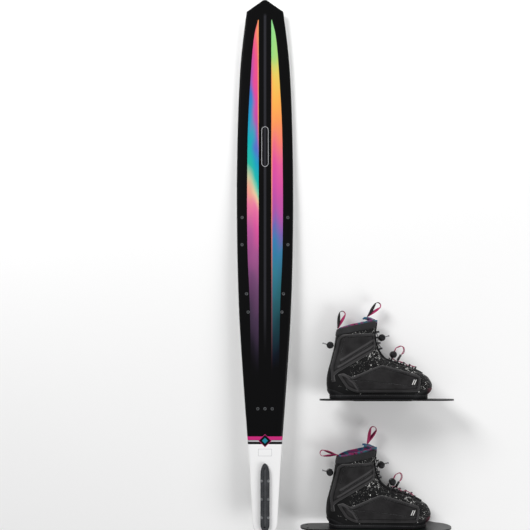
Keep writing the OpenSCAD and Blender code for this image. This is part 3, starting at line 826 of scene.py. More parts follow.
def clip_shape(kind):
    _, ahead, up = TAILS[kind][-1]
    profile = [(0.6, 0), (3.0, 0.15), (CLIP_R - 0.2, 1.0), (CLIP_R, 2.2), (CLIP_R, 4.5),
               (CLIP_R - 0.5, 5.0), (CLIP_R - 0.5, 6.0), (CLIP_R, 6.5), (CLIP_R, 8.0),
               (CLIP_R - 0.5, 8.5), (CLIP_R - 0.5, 9.5), (CLIP_R, 10.0), (CLIP_R, 16.8),
               (CLIP_R - 0.6, CLIP_LENGTH - 0.5), (CLIP_R - 1.2, CLIP_LENGTH), (2.2, CLIP_LENGTH),
               (2.0, CLIP_LENGTH - 4)]
    tilt = Matrix.Rotation(math.radians(CLIP_TILT), 4, "X")
    place = lock_place("instep") @ Matrix.Translation((0, ahead, up - CLIP_GAP)) @ tilt
    return lathe(profile, 28).moved(place)


for b in BOOTS:
    clip = boot_piece(b, "tail_clip_finish", clip_shape(b), "plastic", "tail_clip")
    for i, second in enumerate((False, True)):
        path = tail_path(b, second)
        cord = boot_piece(b, f"lace_tail_{i + 1}", tube(path, CORD_R, 12), "magenta_lace", "lace_tail")


# ---------------------------------------------------------------- the ski
def section_rows(stations, half_section):
    """Rows of closed cross-sections; half_section gives X and Z from the bottom to the top."""
    rows = []
    for y, inset in stations:
        half = half_section(y, inset)
        left = [(-x, z) for x, z in reversed(half[1:-1])]
        rows.append([(x, y, z) for x, z in half + left])
    return np.array(rows, float)


# Edges are rounded in full where the ski is at least this wide each way
FULL_ROUNDING = 15


def deck_section(y, inset):
    """The deck and core at y, with rounded upper edges."""
    w = ski_half(y) - inset
    k = min(1.0, w / FULL_ROUNDING)
    low = base_z(y) + BASE_LAMINATE + 0.02
    high = top_z(y) - inset
    tall = high - low
    return [(0, low), (w - 1.2 * k, low), (w - 0.3 * k, low + 0.1 * tall), (w, low + 0.25 * tall),
            (w, low + 0.55 * tall), (w - 0.5 * k, high - 0.3 * tall), (w - 1.8 * k, high - 0.13 * tall),
            (w - 4.2 * k, high - 0.04 * tall), (w - 7.5 * k, high), (0.66 * w * k, high),
            (0.33 * w * k, high), (0, high)]


def base_section(y, inset):
    """The white base at y, with a bevelled running edge."""
    w = ski_half(y) - inset
    k = min(1.0, w / FULL_ROUNDING)
    low = base_z(y) + 0.3 * inset
    high = base_z(y) + BASE_LAMINATE
    return [(0, low), (0.5 * w, low), (w - 3.4 * k, low), (w - 1.4 * k, low + 0.35),
            (w - 0.7 * k, low + 0.9), (w - 0.9 * k, high), (0, high)]


levels = np.concatenate([np.linspace(2, SKI_LENGTH - 2, 150), EDGE[1:-1, 0] * SKI_LENGTH])
stations = [(y, 0.0) for y in sorted(set(np.round(levels, 2)))]
stations = [(0.0, 1.6), (0.5, 0.6)] + stations + [(SKI_LENGTH - 0.5, 0.6), (SKI_LENGTH, 1.6)]


def drilled(shape, holes, radius, depth):
    """The shape's mesh, with round holes sunk from the deck."""
    drill = Shape()
    for x, y in holes:
        drill.join(lathe([(radius, -depth), (radius, 6)], 32).moved(Matrix.Translation((x, y, top_z(y)))))
    blank, tool = [link(bpy.data.objects.new(name, plain_mesh(name, solid)))
                   for name, solid in (("blank", shape), ("drill", drill))]
    for thing in (blank, tool):
        outward(thing.data)
    cut = blank.modifiers.new("drill", "BOOLEAN")
    cut.operation = "DIFFERENCE"
    cut.solver = "EXACT"
    cut.object = tool
    evaluated = blank.evaluated_get(bpy.context.evaluated_depsgraph_get())
    mesh = bpy.data.meshes.new_from_object(evaluated)
    for thing in (blank, tool):
        bpy.data.objects.remove(thing)
    return mesh


deck_mesh = drilled(closed(section_rows(stations, deck_section)), INSERTS, INSERT_R, INSERT_DEPTH)
dress("ski_deck", deck_mesh, SKI, "deck", ("top_laminate", "ski_core"), sharp=32)
build("ski_base", closed(section_rows(stations, base_section)), SKI, "base", ("base_laminate",), sharp=32)

for node, finish, bevel, body in (("binding_inserts", "insert", 0.25, ROOT),
                                  ("fin_block", "anodised", 0.6, ROOT),
                                  ("fin_clamp_bar", "anodised", 0.3, ROOT),
                                  ("fin_set_screws", "steel", 0.15, ROOT),
                                  ("fin_block_screws", "steel", 0.3, ROOT),
                                  ("fin_blade", "fin_alloy", 0.3, "fin"),
                                  ("wing_screw", "steel", 0.3, "fin"),
                                  ("fin_wing", "anodised", 0.4, "wing")):
    finished(node, SKI, finish, bevel, body)


# ---------------------------------------------------------------- boot shell, in its own frame, in mm
SOLE_TOP = 17.0
BACK = smooth_table([[-6, 14], [0, 11], [14, 3], [36, 0], [66, 3], [106, 14], [146, 24], [196, 33],
                     [240, 41]])
FRONT = smooth_table([[-6, 300], [0, 307], [10, 318], [26, 325], [38, 323], [54, 313], [68, 294],
                      [83, 262], [97, 222], [113, 183], [138, 164], [176, 153], [206, 156],
                      [240, 160]])
FOOT_WIDTH = np.array([[0, 37], [40, 39.5], [80, 40], [130, 40.5], [170, 43], [215, 47.5],
                       [258, 49.8], [325, 49.5]])
SHAFT_WIDTH = np.array([[60, 40], [100, 39], [130, 38], [165, 40], [230, 42]])
FRONT_TAPER = np.array([[0, 58], [60, 64], [100, 82], [125, 58], [150, 46], [240, 44]])
FRONT_POWER = np.array([[0, 0.5], [50, 0.55], [90, 0.68], [130, 0.56], [240, 0.5]])
# The foot's width turns into the shaft's over BLEND, above FOOT_TOP
FOOT_TOP = 62
BLEND = 60
# The sides draw in a little at the sole, and are rounded at the heel, more so up the shaft
SOLE_PINCH = 0.035
SOLE_ROUND = 12
HEEL_ROUND = 34
SHAFT_ROUND = 40
# The throat is open from THROAT_FROM up, THROAT each way from the middle line
THROAT = 17.0
THROAT_FROM = 76.0
# The rim's height at SHAFT_X; rings tilt forward by RIM_SLOPE, from level at SLOPE_FROM
RIM_MID = 216.8
RIM_SLOPE = 0.2
SLOPE_FROM = 120
SLOPE_OVER = 80
SHAFT_X = 98.0
COLLAR_TALL = 22.0
# Columns of points round the shell: half the side, and half the throat
SIDE_COLS = 42
THROAT_COLS = 8
COLS = 2 * (SIDE_COLS + THROAT_COLS)


def table(t, v):
    return np.interp(v, t[:, 0], t[:, 1])


def half_width(x, z):
    """Half the boot's width at a side-view point; z is above the sole."""
    share = smooth((z - FOOT_TOP) / BLEND)
    width = table(FOOT_WIDTH, x) * (1 - share) + table(SHAFT_WIDTH, z) * share
    width = width * (1 - SOLE_PINCH * (1 - smooth(z / SOLE_ROUND)))
    back_round = HEEL_ROUND + (SHAFT_ROUND - HEEL_ROUND) * smooth((z - 90) / 60)
    from_back = np.clip((x - table(BACK, z)) / back_round, 0, 1)
    from_front = np.clip((table(FRONT, z) - x) / table(FRONT_TAPER, z), 0, 1)
    return width * np.sqrt(1 - (1 - from_back) ** 2) * (
        1 - (1 - from_front) ** 2) ** table(FRONT_POWER, z)


def level_ring(z_mid):
    """One ring of the shell: half a turn from the heel line to the front line, then mirrored."""
    slope = RIM_SLOPE * smooth((z_mid - SLOPE_FROM) / SLOPE_OVER)
    back, front = 20.0, 160.0
    for _ in range(14):
        back = table(BACK, z_mid + slope * (back - SHAFT_X))
        front = table(FRONT, z_mid + slope * (front - SHAFT_X))
    x = back + (front - back) * (1 - np.cos(np.linspace(0, math.pi, 300))) / 2
    z = z_mid + slope * (x - SHAFT_X)
    y = half_width(x, z)
    y[0] = y[-1] = 0.0
    line = np.stack([x, y, z + SOLE_TOP], axis=1)
    length = running_length(line)
    edge = length[np.nonzero(y > THROAT)[0][-1]]
    where = np.concatenate([np.linspace(0, edge, SIDE_COLS + 1),
                            np.linspace(edge, length[-1], THROAT_COLS + 1)[1:]])
    half = at_lengths(line, length, where)
    mirrored = half[1:-1] * np.array([1, -1, 1])
    return np.concatenate([half[::-1], mirrored])


def shell_grid(z_mids):
    """Rings and their outward normals."""
    rings = np.array([level_ring(z) for z in z_mids])
    around = np.roll(rings, -1, axis=1) - np.roll(rings, 1, axis=1)
    up = np.gradient(rings, axis=0)
    normals = np.cross(around, up)
    normals /= np.maximum(np.linalg.norm(normals, axis=2), 1e-9)[:, :, None]
    if normals[0, SIDE_COLS // 2 + THROAT_COLS][1] < 0:
        normals = -normals
    return rings, normals


def from_front(c):
    """How many columns a column is from the front line."""
    c = c % COLS
    return min(c, COLS - c)


def thicken(piece, thickness, rim):
    """Gives a sheet a wall on its inner side, with its rim rounded over."""
    wall = piece.modifiers.new("wall", "SOLIDIFY")
    wall.thickness = thickness * MM
    wall.offset = -1.0
    wall.use_even_offset = False
    rounded_edges(piece, rim, 2, 50)


LOW_LEVELS = np.concatenate([np.arange(-1.5, 50, 3.8), np.arange(51, 118, 1.7),
                             np.arange(119, RIM_MID - COLLAR_TALL, 3.6), [RIM_MID - COLLAR_TALL]])
upper_rings, upper_normals = shell_grid(LOW_LEVELS)


# The folds' middle, lean, spread up and down, depth, and waves in radians per mm
FOLDS_AT = (150, 118)
FOLDS_LEAN = 0.35
FOLDS_SPREAD = 16
FOLD_DEPTH = 0.7
FOLD_WAVES = 0.55


def creases(rings, normals):
    """Shallow folds where the ankle bends, fading towards the heel."""
    x, z = rings[:, :, 0], rings[:, :, 2] - SOLE_TOP
    above = z - FOLDS_AT[1] + (x - FOLDS_AT[0]) * FOLDS_LEAN
    near = np.exp(-(above / FOLDS_SPREAD) ** 2) * smooth((x - 70) / 60)
    wave = np.sin((z + FOLDS_LEAN * x) * FOLD_WAVES) * FOLD_DEPTH
    return rings + normals * (near * wave)[:, :, None]


upper_surface = creases(upper_rings, upper_normals)


def boot_upper(b):
    """The knit shell, open along the throat."""
    def keep(r, c):
        return LOW_LEVELS[r] < THROAT_FROM or min(from_front(c), from_front(c + 1)) >= THROAT_COLS

    shape = Shape().grid(upper_surface, wrap=True, keep=keep)
    thicken(boot_piece(b, "upper_knit", shape, "speckled", "upper", sharp=70, merge=True), 3.2, 0.6)


STAY_COLUMNS = 5
STAY_PROFILE = (-0.6, 2.0, 2.5, 2.5, 2.0, -0.4)


def boot_eyestays(b):
    """Raised bands along both edges of the throat, which carry the lace guides."""
    rows = [r for r in range(len(LOW_LEVELS)) if LOW_LEVELS[r] > THROAT_FROM - 3]
    shape = Shape()
    for side in (1, -1):
        columns = [(side * (THROAT_COLS + k)) % COLS for k in range(STAY_COLUMNS + 1)]
        loops = []
        for r in rows:
            outer = [upper_surface[r, c] + upper_normals[r, c] * STAY_PROFILE[k]
                     for k, c in enumerate(columns)]
            inner = [upper_surface[r, c] - upper_normals[r, c] for c in reversed(columns)]
            loops.append(outer + inner)
        shape.join(closed(loops))
    boot_piece(b, "eyestays", shape, "speckled", sharp=70)


def ring_at(z_mid, amount):
    """One ring of the shell, moved out by amount."""
    rings, normals = shell_grid([z_mid - 1.0, z_mid, z_mid + 1.0])
    return rings[1] + normals[1] * amount


BACK_COLUMNS = np.arange(THROAT_COLS, COLS - THROAT_COLS + 1)


def boot_collar(b):
    """The padded collar: a closed profile of levels and offsets, swept round from the throat."""
    low = RIM_MID - COLLAR_TALL
    profile = [(low - 0.5, -3.0), (low - 0.8, 0.6), (low + 1.0, 1.5), (low + 6, 1.9),
               (low + 12, 1.6), (low + 17, 1.3), (low + 19.4, 0.5), (low + 20.6, -0.8),
               (low + 20.3, -2.6), (low + 19.0, -3.6), (low + 10, -3.8)]
    loops = np.array([ring_at(level, amount)[BACK_COLUMNS] for level, amount in profile])
    piece = boot_piece(b, "collar_pad", closed(loops.transpose(1, 0, 2)), "collar", "collar", sharp=80)
    soft = piece.modifiers.new("soft", "SUBSURF")
    soft.levels = soft.render_levels = 1


LINER_LEVELS = np.concatenate([np.arange(12, 118, 5.0), np.arange(119, RIM_MID - 2, 4.5),
                               [RIM_MID + 1.0, RIM_MID + 3.6]])
LINER_INSET = 5.4


def boot_liner(b):
    rings, normals = shell_grid(LINER_LEVELS)
    shape = Shape().grid(rings - normals * LINER_INSET, wrap=True)
    piece = boot_piece(b, "printed_liner", shape, "lining", "liner", sharp=80, merge=True)
    thicken(piece, 4.0, 1.4)


TONGUE_LEVELS = np.concatenate([np.arange(66, 118, 2.2), np.arange(119, RIM_MID, 3.6),
                                [RIM_MID + 1.5]])
TONGUE_REACH = THROAT_COLS + 2
# The tongue stands proud of the shell in the middle, and drops under the throat's edges
TONGUE_PROUD = 2.0
TONGUE_DROP = 6.4
TONGUE_PUFF = 0.5
# Where the middle of the tongue's end runs above the collar, in side view
TONGUE_END = [[154, 246], [148, 251.5], [140, 255], [132.5, 256.6], [126.5, 256.2]]


def boot_tongue(b):
    """The padded tongue under the laces, and its printed end above the collar."""
    rings, normals = shell_grid(TONGUE_LEVELS)
    columns = np.array([c % COLS for c in range(-TONGUE_REACH, TONGUE_REACH + 1)])
    share = np.abs(np.arange(-TONGUE_REACH, TONGUE_REACH + 1)) / TONGUE_REACH
    amount = TONGUE_PROUD - TONGUE_DROP * smooth((share - 0.36) / 0.42)
    rows = rings[:, columns] + normals[:, columns] * amount[None, :, None]
    puff = TONGUE_PUFF * np.sin(np.arange(len(TONGUE_LEVELS)) * 0.55)
    rows = rows + normals[:, columns] * (puff[:, None] * (1 - share)[None, :] ** 0.5)[:, :, None]
    last = rows[-1]
    middle = last[TONGUE_REACH]
    extra = []
    for k, (x, z) in enumerate(TONGUE_END):
        narrow = 1 - 0.1 * ((k + 1) / len(TONGUE_END)) ** 2
        row = last.copy()
        row[:, 0] = x + (last[:, 0] - middle[0]) * 0.75
        row[:, 1] = last[:, 1] * narrow
        row[:, 2] = z + (last[:, 2] - middle[2]) * 0.5
        extra.append(row)
    rows = np.concatenate([rows, np.array(extra)])
    split = len(TONGUE_LEVELS) - 4
    lower = boot_piece(b, "tongue_pad", Shape().grid(rows[:split + 1]), "neoprene", "tongue", sharp=80)
    thicken(lower, 5.0, 1.6)
    top = boot_piece(b, "tongue_top", Shape().grid(rows[split:]), "lining", sharp=80)
    thicken(top, 5.6, 2.0)


# ---------------------------------------------------------------- moulded panels
CUFF_PANEL = [[48, 201], [148, 206], [150, 159], [138, 146], [34, 87], [22, 76], [25, 58], [14, 56],
              [12, 100], [26, 150], [36, 190]]
SIDE_PANEL = [[31, 79], [50, 83], [74, 70], [166, 110], [284, 74], [278, 26], [86, 24], [58, 38]]
# Raised ribs and sewn grooves on each panel, in side view: points, half width and height
CUFF_LINES = [([[57, 193], [134, 197]], 1.1, -0.8),
              ([[57, 193], [42, 140]], 1.1, -0.8),
              ([[140, 183], [42, 122]], 3.0, 1.3),
              ([[141, 166], [34, 101]], 3.0, 1.3),
              ([[138, 174], [40, 112]], 1.1, -0.9)]
SIDE_LINES = [([[100, 72], [167, 99], [248, 79]], 1.1, -0.8),
              ([[76, 62], [190, 52], [272, 42]], 1.1, -0.8),
              ([[50, 76], [78, 54], [92, 32]], 3.0, 1.1),
              ([[64, 74], [88, 50], [100, 30]], 1.0, -0.8),
              ([[92, 30], [272, 32]], 1.0, -0.7)]
PANEL_T = 2.4
STITCH_SUNK = 0.35
# Each panel has a raised border with a groove inside it
BORDER = 7.5
BORDER_RISE = 0.55
GROOVE = 0.9
# The outline's points, two rows just inside it, and an even net within them
EDGE_STEP = 2.2
EDGE_INSETS = (0.5, 1.3)
NET_STEP = 2.0
NET_INSET = 1.9
# The panel's edge is thin, and rounds up to its full thickness over EDGE_ROUND
EDGE_T = 0.2
EDGE_ROUND = 1.7
BURIED = -1.2


def rounded(polygon):
    """The polygon with its corners cut three times, the first time only close to each corner."""
    p = np.array(polygon, float)
    for keep in (0.93, 0.75, 0.75):
        after = np.roll(p, -1, axis=0)
        p = np.stack([p * keep + after * (1 - keep), p * (1 - keep) + after * keep], axis=1)
        p = p.reshape(-1, 2)
    return p


def resampled(line, step, loop=False):
    """The same line, or closed loop, with points an even step apart."""
    p = np.vstack([line, line[:1]]) if loop else line
    length = running_length(p)
    count = int(length[-1] / step)
    where = np.linspace(0, length[-1], count + 1)[:-1] if loop else np.linspace(0, length[-1], max(2, count))
    return at_lengths(p, length, where)


def distance_to(points, line, loop=False):
    line = np.vstack([line, line[:1]]) if loop else np.array(line, float)
    best = np.full(len(points), 1e9)
    for a, b in zip(line[:-1], line[1:]):
        along = b - a
        t = np.clip(((points - a) @ along) / max(along @ along, 1e-9), 0, 1)
        best = np.minimum(best, np.linalg.norm(points - a - t[:, None] * along, axis=1))
    return best


def inside(points, polygon):
    x, z = points[:, 0], points[:, 1]
    found = np.zeros(len(points), bool)
    for (ax, az), (bx, bz) in zip(polygon, np.roll(polygon, -1, axis=0)):
        crosses = (az > z) != (bz > z)
        with np.errstate(divide="ignore", invalid="ignore"):
            found ^= crosses & (x < (bx - ax) * (z - az) / (bz - az) + ax)
    return found


def on_side(points, amount, side):
    """Side-view points, z from the plate's underside, on the shell and out from it."""
    x, z = points[:, 0], points[:, 1] - SOLE_TOP
    step = 0.8
    y = half_width(x, z)
    dx = (half_width(x + step, z) - half_width(x - step, z)) / (2 * step)
    dz = (half_width(x, z + step) - half_width(x, z - step)) / (2 * step)
    normal = unit(np.stack([-dx, np.ones_like(x), -dz], axis=1))
    surface = np.stack([x, y, z + SOLE_TOP], axis=1) + normal * np.array(amount)[:, None]
    surface[:, 1] *= side
    return surface


def panel_shape(outline, lines):
    """Both sides' panels: an even net inside the outline, raised and grooved, laid on the shell."""
    edge = resampled(rounded(outline), EDGE_STEP, True)
    lo, hi = edge.min(axis=0), edge.max(axis=0)
    xs, zs = np.meshgrid(np.arange(lo[0], hi[0], NET_STEP), np.arange(lo[1], hi[1], NET_STEP))
    xs = xs + (np.arange(xs.shape[0]) % 2)[:, None] * NET_STEP / 2
    spots = np.stack([xs.ravel(), zs.ravel()], axis=1)
    spots = spots[inside(spots, edge)]
    spots = spots[distance_to(spots, edge, True) > NET_INSET]
    turn = np.roll(edge, -1, axis=0) - np.roll(edge, 1, axis=0)
    normal = unit(np.stack([-turn[:, 1], turn[:, 0]], axis=1))
    inner = []
    for inset in EDGE_INSETS:
        moved = edge + normal * inset
        if not inside(moved[:1], edge)[0]:
            moved = edge - normal * inset
        inner.append(moved[inside(moved, edge) & (distance_to(moved, edge, True) > inset * 0.8)])
    flat = np.vstack([edge] + inner + [spots])
    verts, _, faces, _, _, _ = delaunay_2d_cdt([Vector(p) for p in flat], [],
                                               [list(range(len(edge)))], 1, 1e-5)
    flat = np.array([tuple(v) for v in verts])
    near = distance_to(flat, edge, True)
    relief = BORDER_RISE * (1 - smooth((near - BORDER) / 1.2))
    relief = relief - GROOVE * np.exp(-((near - BORDER - 1.6) / 1.1) ** 2)
    for line, width, height in lines:
        relief = relief + height * np.exp(-(distance_to(flat, line) / width) ** 2)
    rise = np.sqrt(1 - (1 - np.clip(near / EDGE_ROUND, 0, 1)) ** 2)
    amount = EDGE_T + (PANEL_T - EDGE_T) * rise + smooth((near - 1.6) / 2.0) * relief
    count = len(flat)
    rim = list(range(len(edge)))
    run = np.stack([np.concatenate([v, v]) for v in (relief, near, near * 0)], axis=1)
    shape = Shape()
    for side in (1, -1):
        outer = on_side(flat, amount, side)
        back = on_side(flat, np.full(count, BURIED), side)
        made = [tuple(f) for f in faces]
        made += [tuple(count + i for i in reversed(f)) for f in faces]
        made += [(i, j, count + j, count + i) for i, j in zip(rim, rim[1:] + rim[:1])]
        shape.add(np.vstack([outer, back]), made, run)
    return shape


def stitches(paths, gap=4.6, length=2.9, radius=0.38):
    """Short threads along lines on the shell."""
    shape = Shape()
    for line in paths:
        run = running_length(line)
        for start in np.arange(1.5, run[-1] - length, gap):
            where = start + np.array([0, 0.5, 1]) * length
            shape.join(tube(at_lengths(line, run, where), radius, 6))
    return shape


def side_line(points, amount, side):
    line = resampled(np.array(points, float), 2.0)
    return on_side(line, np.full(len(line), amount), side)


cuff_shape = panel_shape(CUFF_PANEL, CUFF_LINES)
side_shape = panel_shape(SIDE_PANEL, SIDE_LINES)


def boot_panels(b):
    boot_piece(b, "cuff_moulding", cuff_shape, "panel", "cuff_panels", sharp=60)
    boot_piece(b, "side_moulding", side_shape, "panel", "side_panels", sharp=60)
    sewn = [side_line(points, PANEL_T - STITCH_SUNK, side)
            for side in (1, -1) for points, _, height in CUFF_LINES + SIDE_LINES if height < 0]
    boot_piece(b, "panel_stitching", stitches(sewn), "thread")


# ---------------------------------------------------------------- sole, rand, insole
INSOLE_Z = 27.2


def boot_sole(b):
    """The outsole with its groove and lip, its welt stitching, and the insole."""
    profile = [(-12, -2.0), (-11.6, -0.4), (-10.6, 0.9), (-9, 1.3), (-7.4, 1.3), (-7.0, 0.7),
               (-6.3, 0.7), (-5.9, 1.3), (-2.6, 1.4), (-1.2, 1.5), (0.2, 1.5), (0.9, 1.1),
               (1.1, 0.3), (1.0, -3.0)]
    base = ring_at(2.0, 0.0)
    ahead = np.roll(base, -1, axis=0) - np.roll(base, 1, axis=0)
    normal = unit(np.cross(ahead, [0, 0, 1]))
    if normal[SIDE_COLS // 2 + THROAT_COLS][1] < 0:
        normal = -normal

    def flat_rings(profile, height):
        rows = []
        for z, amount in profile:
            ring = base + normal * amount
            ring[:, 2] = height + z
            rows.append(ring)
        return closed(rows)

    boot_piece(b, "sole_rubber", flat_rings(profile, SOLE_TOP), "rubber", "outsole", sharp=35)
    welt = base + normal * 1.5
    welt[:, 2] = SOLE_TOP - 2.0
    around = np.vstack([welt, welt[:1]])
    boot_piece(b, "welt_stitching", stitches([around], 6.4, 4.0, 0.42), "thread", slot="rubber")
    profile = [(0.2, -12.0), (0.8, -11.0), (3.2, -11.0), (4.0, -12.2), (3.6, -17.0)]
    insole = boot_piece(b, "insole_foam", flat_rings(profile, INSOLE_Z), "foam", "insole", sharp=50)


TOE_RAND = 21
HEEL_RAND = 17


def boot_rand(b):
    """Low rubber rands round the toe and the heel, standing for the toe and heel caps."""
    # Each rand starts at an X, and reaches its full height over the length that follows
    levels = np.linspace(0.4, 40, 34)
    rings, normals = shell_grid(levels)
    shape = Shape()
    x = rings[4, :, 0]
    # Shares of the rand's height, and offsets from the shell
    profile = [(0.0, 0.1), (0.02, 1.5), (0.5, 1.7), (0.86, 1.6), (0.97, 1.1), (1.0, 0.2),
               (0.98, -1.0), (0.0, -1.0)]
    for toe in (True, False):
        height = TOE_RAND * smooth((x - 246) / 62) if toe else HEEL_RAND * smooth((62 - x) / 52)
        columns = [c for c in range(COLS) if height[c] > 2.0]
        if toe:
            columns = sorted(columns, key=lambda c: (c + COLS // 2) % COLS)
        rows = []
        for c in columns:
            row = []
            for share, amount in profile:
                z = 0.5 + share * height[c]
                row.append(at_lengths(rings[:, c], levels, z) + at_lengths(normals[:, c], levels, z) * amount)
            rows.append(row)
        shape.join(closed(rows))
    boot_piece(b, "toe_heel_rand", shape, "rubber", "toe_heel_caps", sharp=50)


# ---------------------------------------------------------------- laces, guides, locks
# The tongue's surface under each row of lace: along the instep, and up the ankle
INSTEP_SURFACE = np.array([[180, 130.8], [222, 114.8], [262, 100.6], [296, 85.6]])
ANKLE_SURFACE = np.array([[155, 164], [193, 152], [223, 157]])
# Each row's way out of the boot, its number of crossings, and where it starts and ends
ROWS = {"instep": (np.array([36, 100]) / math.hypot(36, 100), 4, (270, 198)),
        "ankle": (np.array([100, 12]) / math.hypot(100, 12), 3, (158, 209))}
LACE_R = 1.5
LACE_LIFT = 4.9
LACE_CROWN = 0.8
LACE_REACH = 21.0


def row_point(row, share):
    start, end = ROWS[row][2]
    value = start + (end - start) * share
    if row == "instep":
        return np.array([value, table(INSTEP_SURFACE, value)])
    return np.array([table(ANKLE_SURFACE, value) + 0.6, value])


def lace_path(row):
    """Over the tongue and through the guides in turn, from one side to the other."""
    normal, crossings, _ = ROWS[row]
    points = []
    for i in range(-1, 2 * crossings + 2):
        over = i % 2 != 0
        lift = LACE_LIFT + (LACE_CROWN if over else 0)
        c = row_point(row, i / (2 * crossings))
        side = 0 if over else (-1 if i % 4 == 0 else 1)
        points.append([c[0] + normal[0] * lift, side * LACE_REACH, c[1] + normal[1] * lift])
    return curve_through(points, 8)


GUIDE_PROFILE = [(0.5, -2.5), (3.3, -2.4), (3.5, -0.2), (3.4, 0.8), (2.7, 1.4), (2.4, 2.2),
                 (2.4, 4.2), (2.8, 4.9), (3.5, 5.2), (3.6, 5.8), (3.2, 6.4), (2.0, 6.8),
                 (1.5, 6.8), (1.3, 6.2)]


def boot_guides(b):
    shape = Shape()
    for row, (normal, crossings, _) in ROWS.items():
        tilt = math.atan2(normal[0], normal[1])
        for i in range(crossings + 1):
            c = row_point(row, i / crossings)
            for side in (-1, 1):
                at = Matrix.Translation((c[0] + 0.3 * normal[0], side * (LACE_REACH + 5.0),
                                         c[1] + 0.3 * normal[1]))
                shape.join(lathe(GUIDE_PROFILE, 20).moved(at @ Matrix.Rotation(tilt, 4, "Y")))
    boot_piece(b, "guide_spools", shape, "guide", "lace_guides", sharp=50)


def lock_strands(name):
    """The two cords that a lock slides on, and the knot that joins their ends."""
    shape = Shape()
    place = lock_place(name)
    for x in (-CORD_HALF, CORD_HALF):
        line = [[x, 0, z] for z in np.linspace(0.2, STRAND, 12)]
        shape.join(tube(line, CORD_R, 10).moved(place))
    knot = [(0.4, 0), (1.7, 0.3), (2.3, 1.2), (2.2, 2.4), (1.7, 3.4), (1.9, 4.6), (1.7, 5.8),
            (2.2, 6.8), (2.3, 8.0), (1.7, 8.9), (0.4, 9.2)]
    at = Matrix.Translation((-CORD_HALF - CORD_R, 0, STRAND)) @ Matrix.Rotation(math.pi / 2, 4, "Y")
    return shape.join(lathe(knot, 20).moved(place @ at))


def boot_laces(b):
    boot_piece(b, "instep_braid", tube(lace_path("instep"), LACE_R, 12), "magenta_lace", "instep_lace")
    shape = tube(lace_path("ankle"), LACE_R, 12)
    shape.join(lock_strands("ankle"))
    shape.join(lock_strands("heel"))
    boot_piece(b, "ankle_braid", shape, "black_lace", "ankle_lace")


def barrel():
    """Outline of a lock's barrel: rounded ends, two grooves and the button's bore."""
    half = LOCK_LENGTH / 2
    groove = [(LOCK_R, 4.6), (LOCK_R - 0.9, 5.2), (LOCK_R - 0.9, 6.8), (LOCK_R, 7.4)]
    foot = [(0.5, 0), (LOCK_R - 2.4, 0.1), (LOCK_R - 0.8, 0.8), (LOCK_R, 2.2)]
    head = [(LOCK_R, 1.4), (LOCK_R - 0.5, 0.5), (LOCK_R - 1.4, 0), (BUTTON_R + 0.5, 0),
            (BUTTON_R + 0.15, 0.4), (BUTTON_R + 0.12, 6)]
    return [(r, z - half) for r, z in foot + groove] + [(r, half - z) for r, z in groove[::-1] + head]


def button_outline(start, end):
    return [(0.5, start), (BUTTON_R - 0.6, start), (BUTTON_R, start + 0.6),
            (BUTTON_R, end - 4.8), (BUTTON_R - 0.05, end - 4.2), (BUTTON_R - 0.05, end - 2.2),
            (BUTTON_R, end - 1.6), (BUTTON_R - 0.4, end - 0.6), (BUTTON_R - 1.4, end - 0.1),
            (BUTTON_R - 2.4, end), (BUTTON_R - 2.8, end - 0.5), (0.5, end - 0.7)]


EYELET = [(1.3, 0), (2.4, 0), (2.4, 1.2), (2.1, 1.6), (1.5, 1.6)]
BUTTON_START = -LOCK_LENGTH / 2 + 2 + BUTTON_TRAVEL + 0.5
BUTTON_END = LOCK_LENGTH / 2 + BUTTON_OUT


def boot_locks(b):
    for name in LOCKS:
        place = lock_place(name) @ Matrix.Translation((0, 0, LOCK_R))
        turned = place @ Matrix.Rotation(math.pi / 2, 4, "Y")
        shape = lathe(barrel(), 48, 14, 1.1, (-2.6, 2.6)).moved(turned)
        up = LOCK_R - 0.9
        for x in (-CORD_HALF, CORD_HALF):
            for z, spin in ((-up, math.pi), (up, 0)):
                at = place @ Matrix.Translation((x, 0, z)) @ Matrix.Rotation(spin, 4, "X")
                shape.join(lathe(EYELET, 20).moved(at))
        boot_piece(b, f"{name}_lock_barrel", shape, "plastic", f"{name}_lock", body=f"{b}_{name}_lock",
                   sharp=38)
        grip = (BUTTON_END - 4.5, BUTTON_END - 1.9)
        button = lathe(button_outline(BUTTON_START, BUTTON_END), 48, 16, 0.5, grip).moved(turned)
        boot_piece(b, f"{name}_button_cap", button, "guide", f"{name}_button", body=f"{b}_{name}_button",
                   sharp=38)


# ---------------------------------------------------------------- pull loops
LOOP_LENGTH = 56.0
LOOP_WIDTH = 13.0
LOOP_R = 10.0
WEB_T = 1.6
# Each loop's sewn root, and the angle that it stands at on each boot
LOOPS = {"heel_loop": ((37, 222.5), {"front": 72, "rear": 172}),
         "tongue_loop": ((131, 259.4), {"front": 47, "rear": 66})}


# The webbing's section: shares of its half width and of its thickness
WEB_SECTION = [(-1, -0.5), (-1, 0.5), (-0.85, 0.62), (-0.5, 0.5), (0, 0.5), (0.5, 0.5),
               (0.85, 0.62), (1, 0.5), (1, -0.5), (0.5, -0.5), (0, -0.5), (-0.5, -0.5)]
TWIST = math.radians(38)
TWISTED = 1 / 2.4


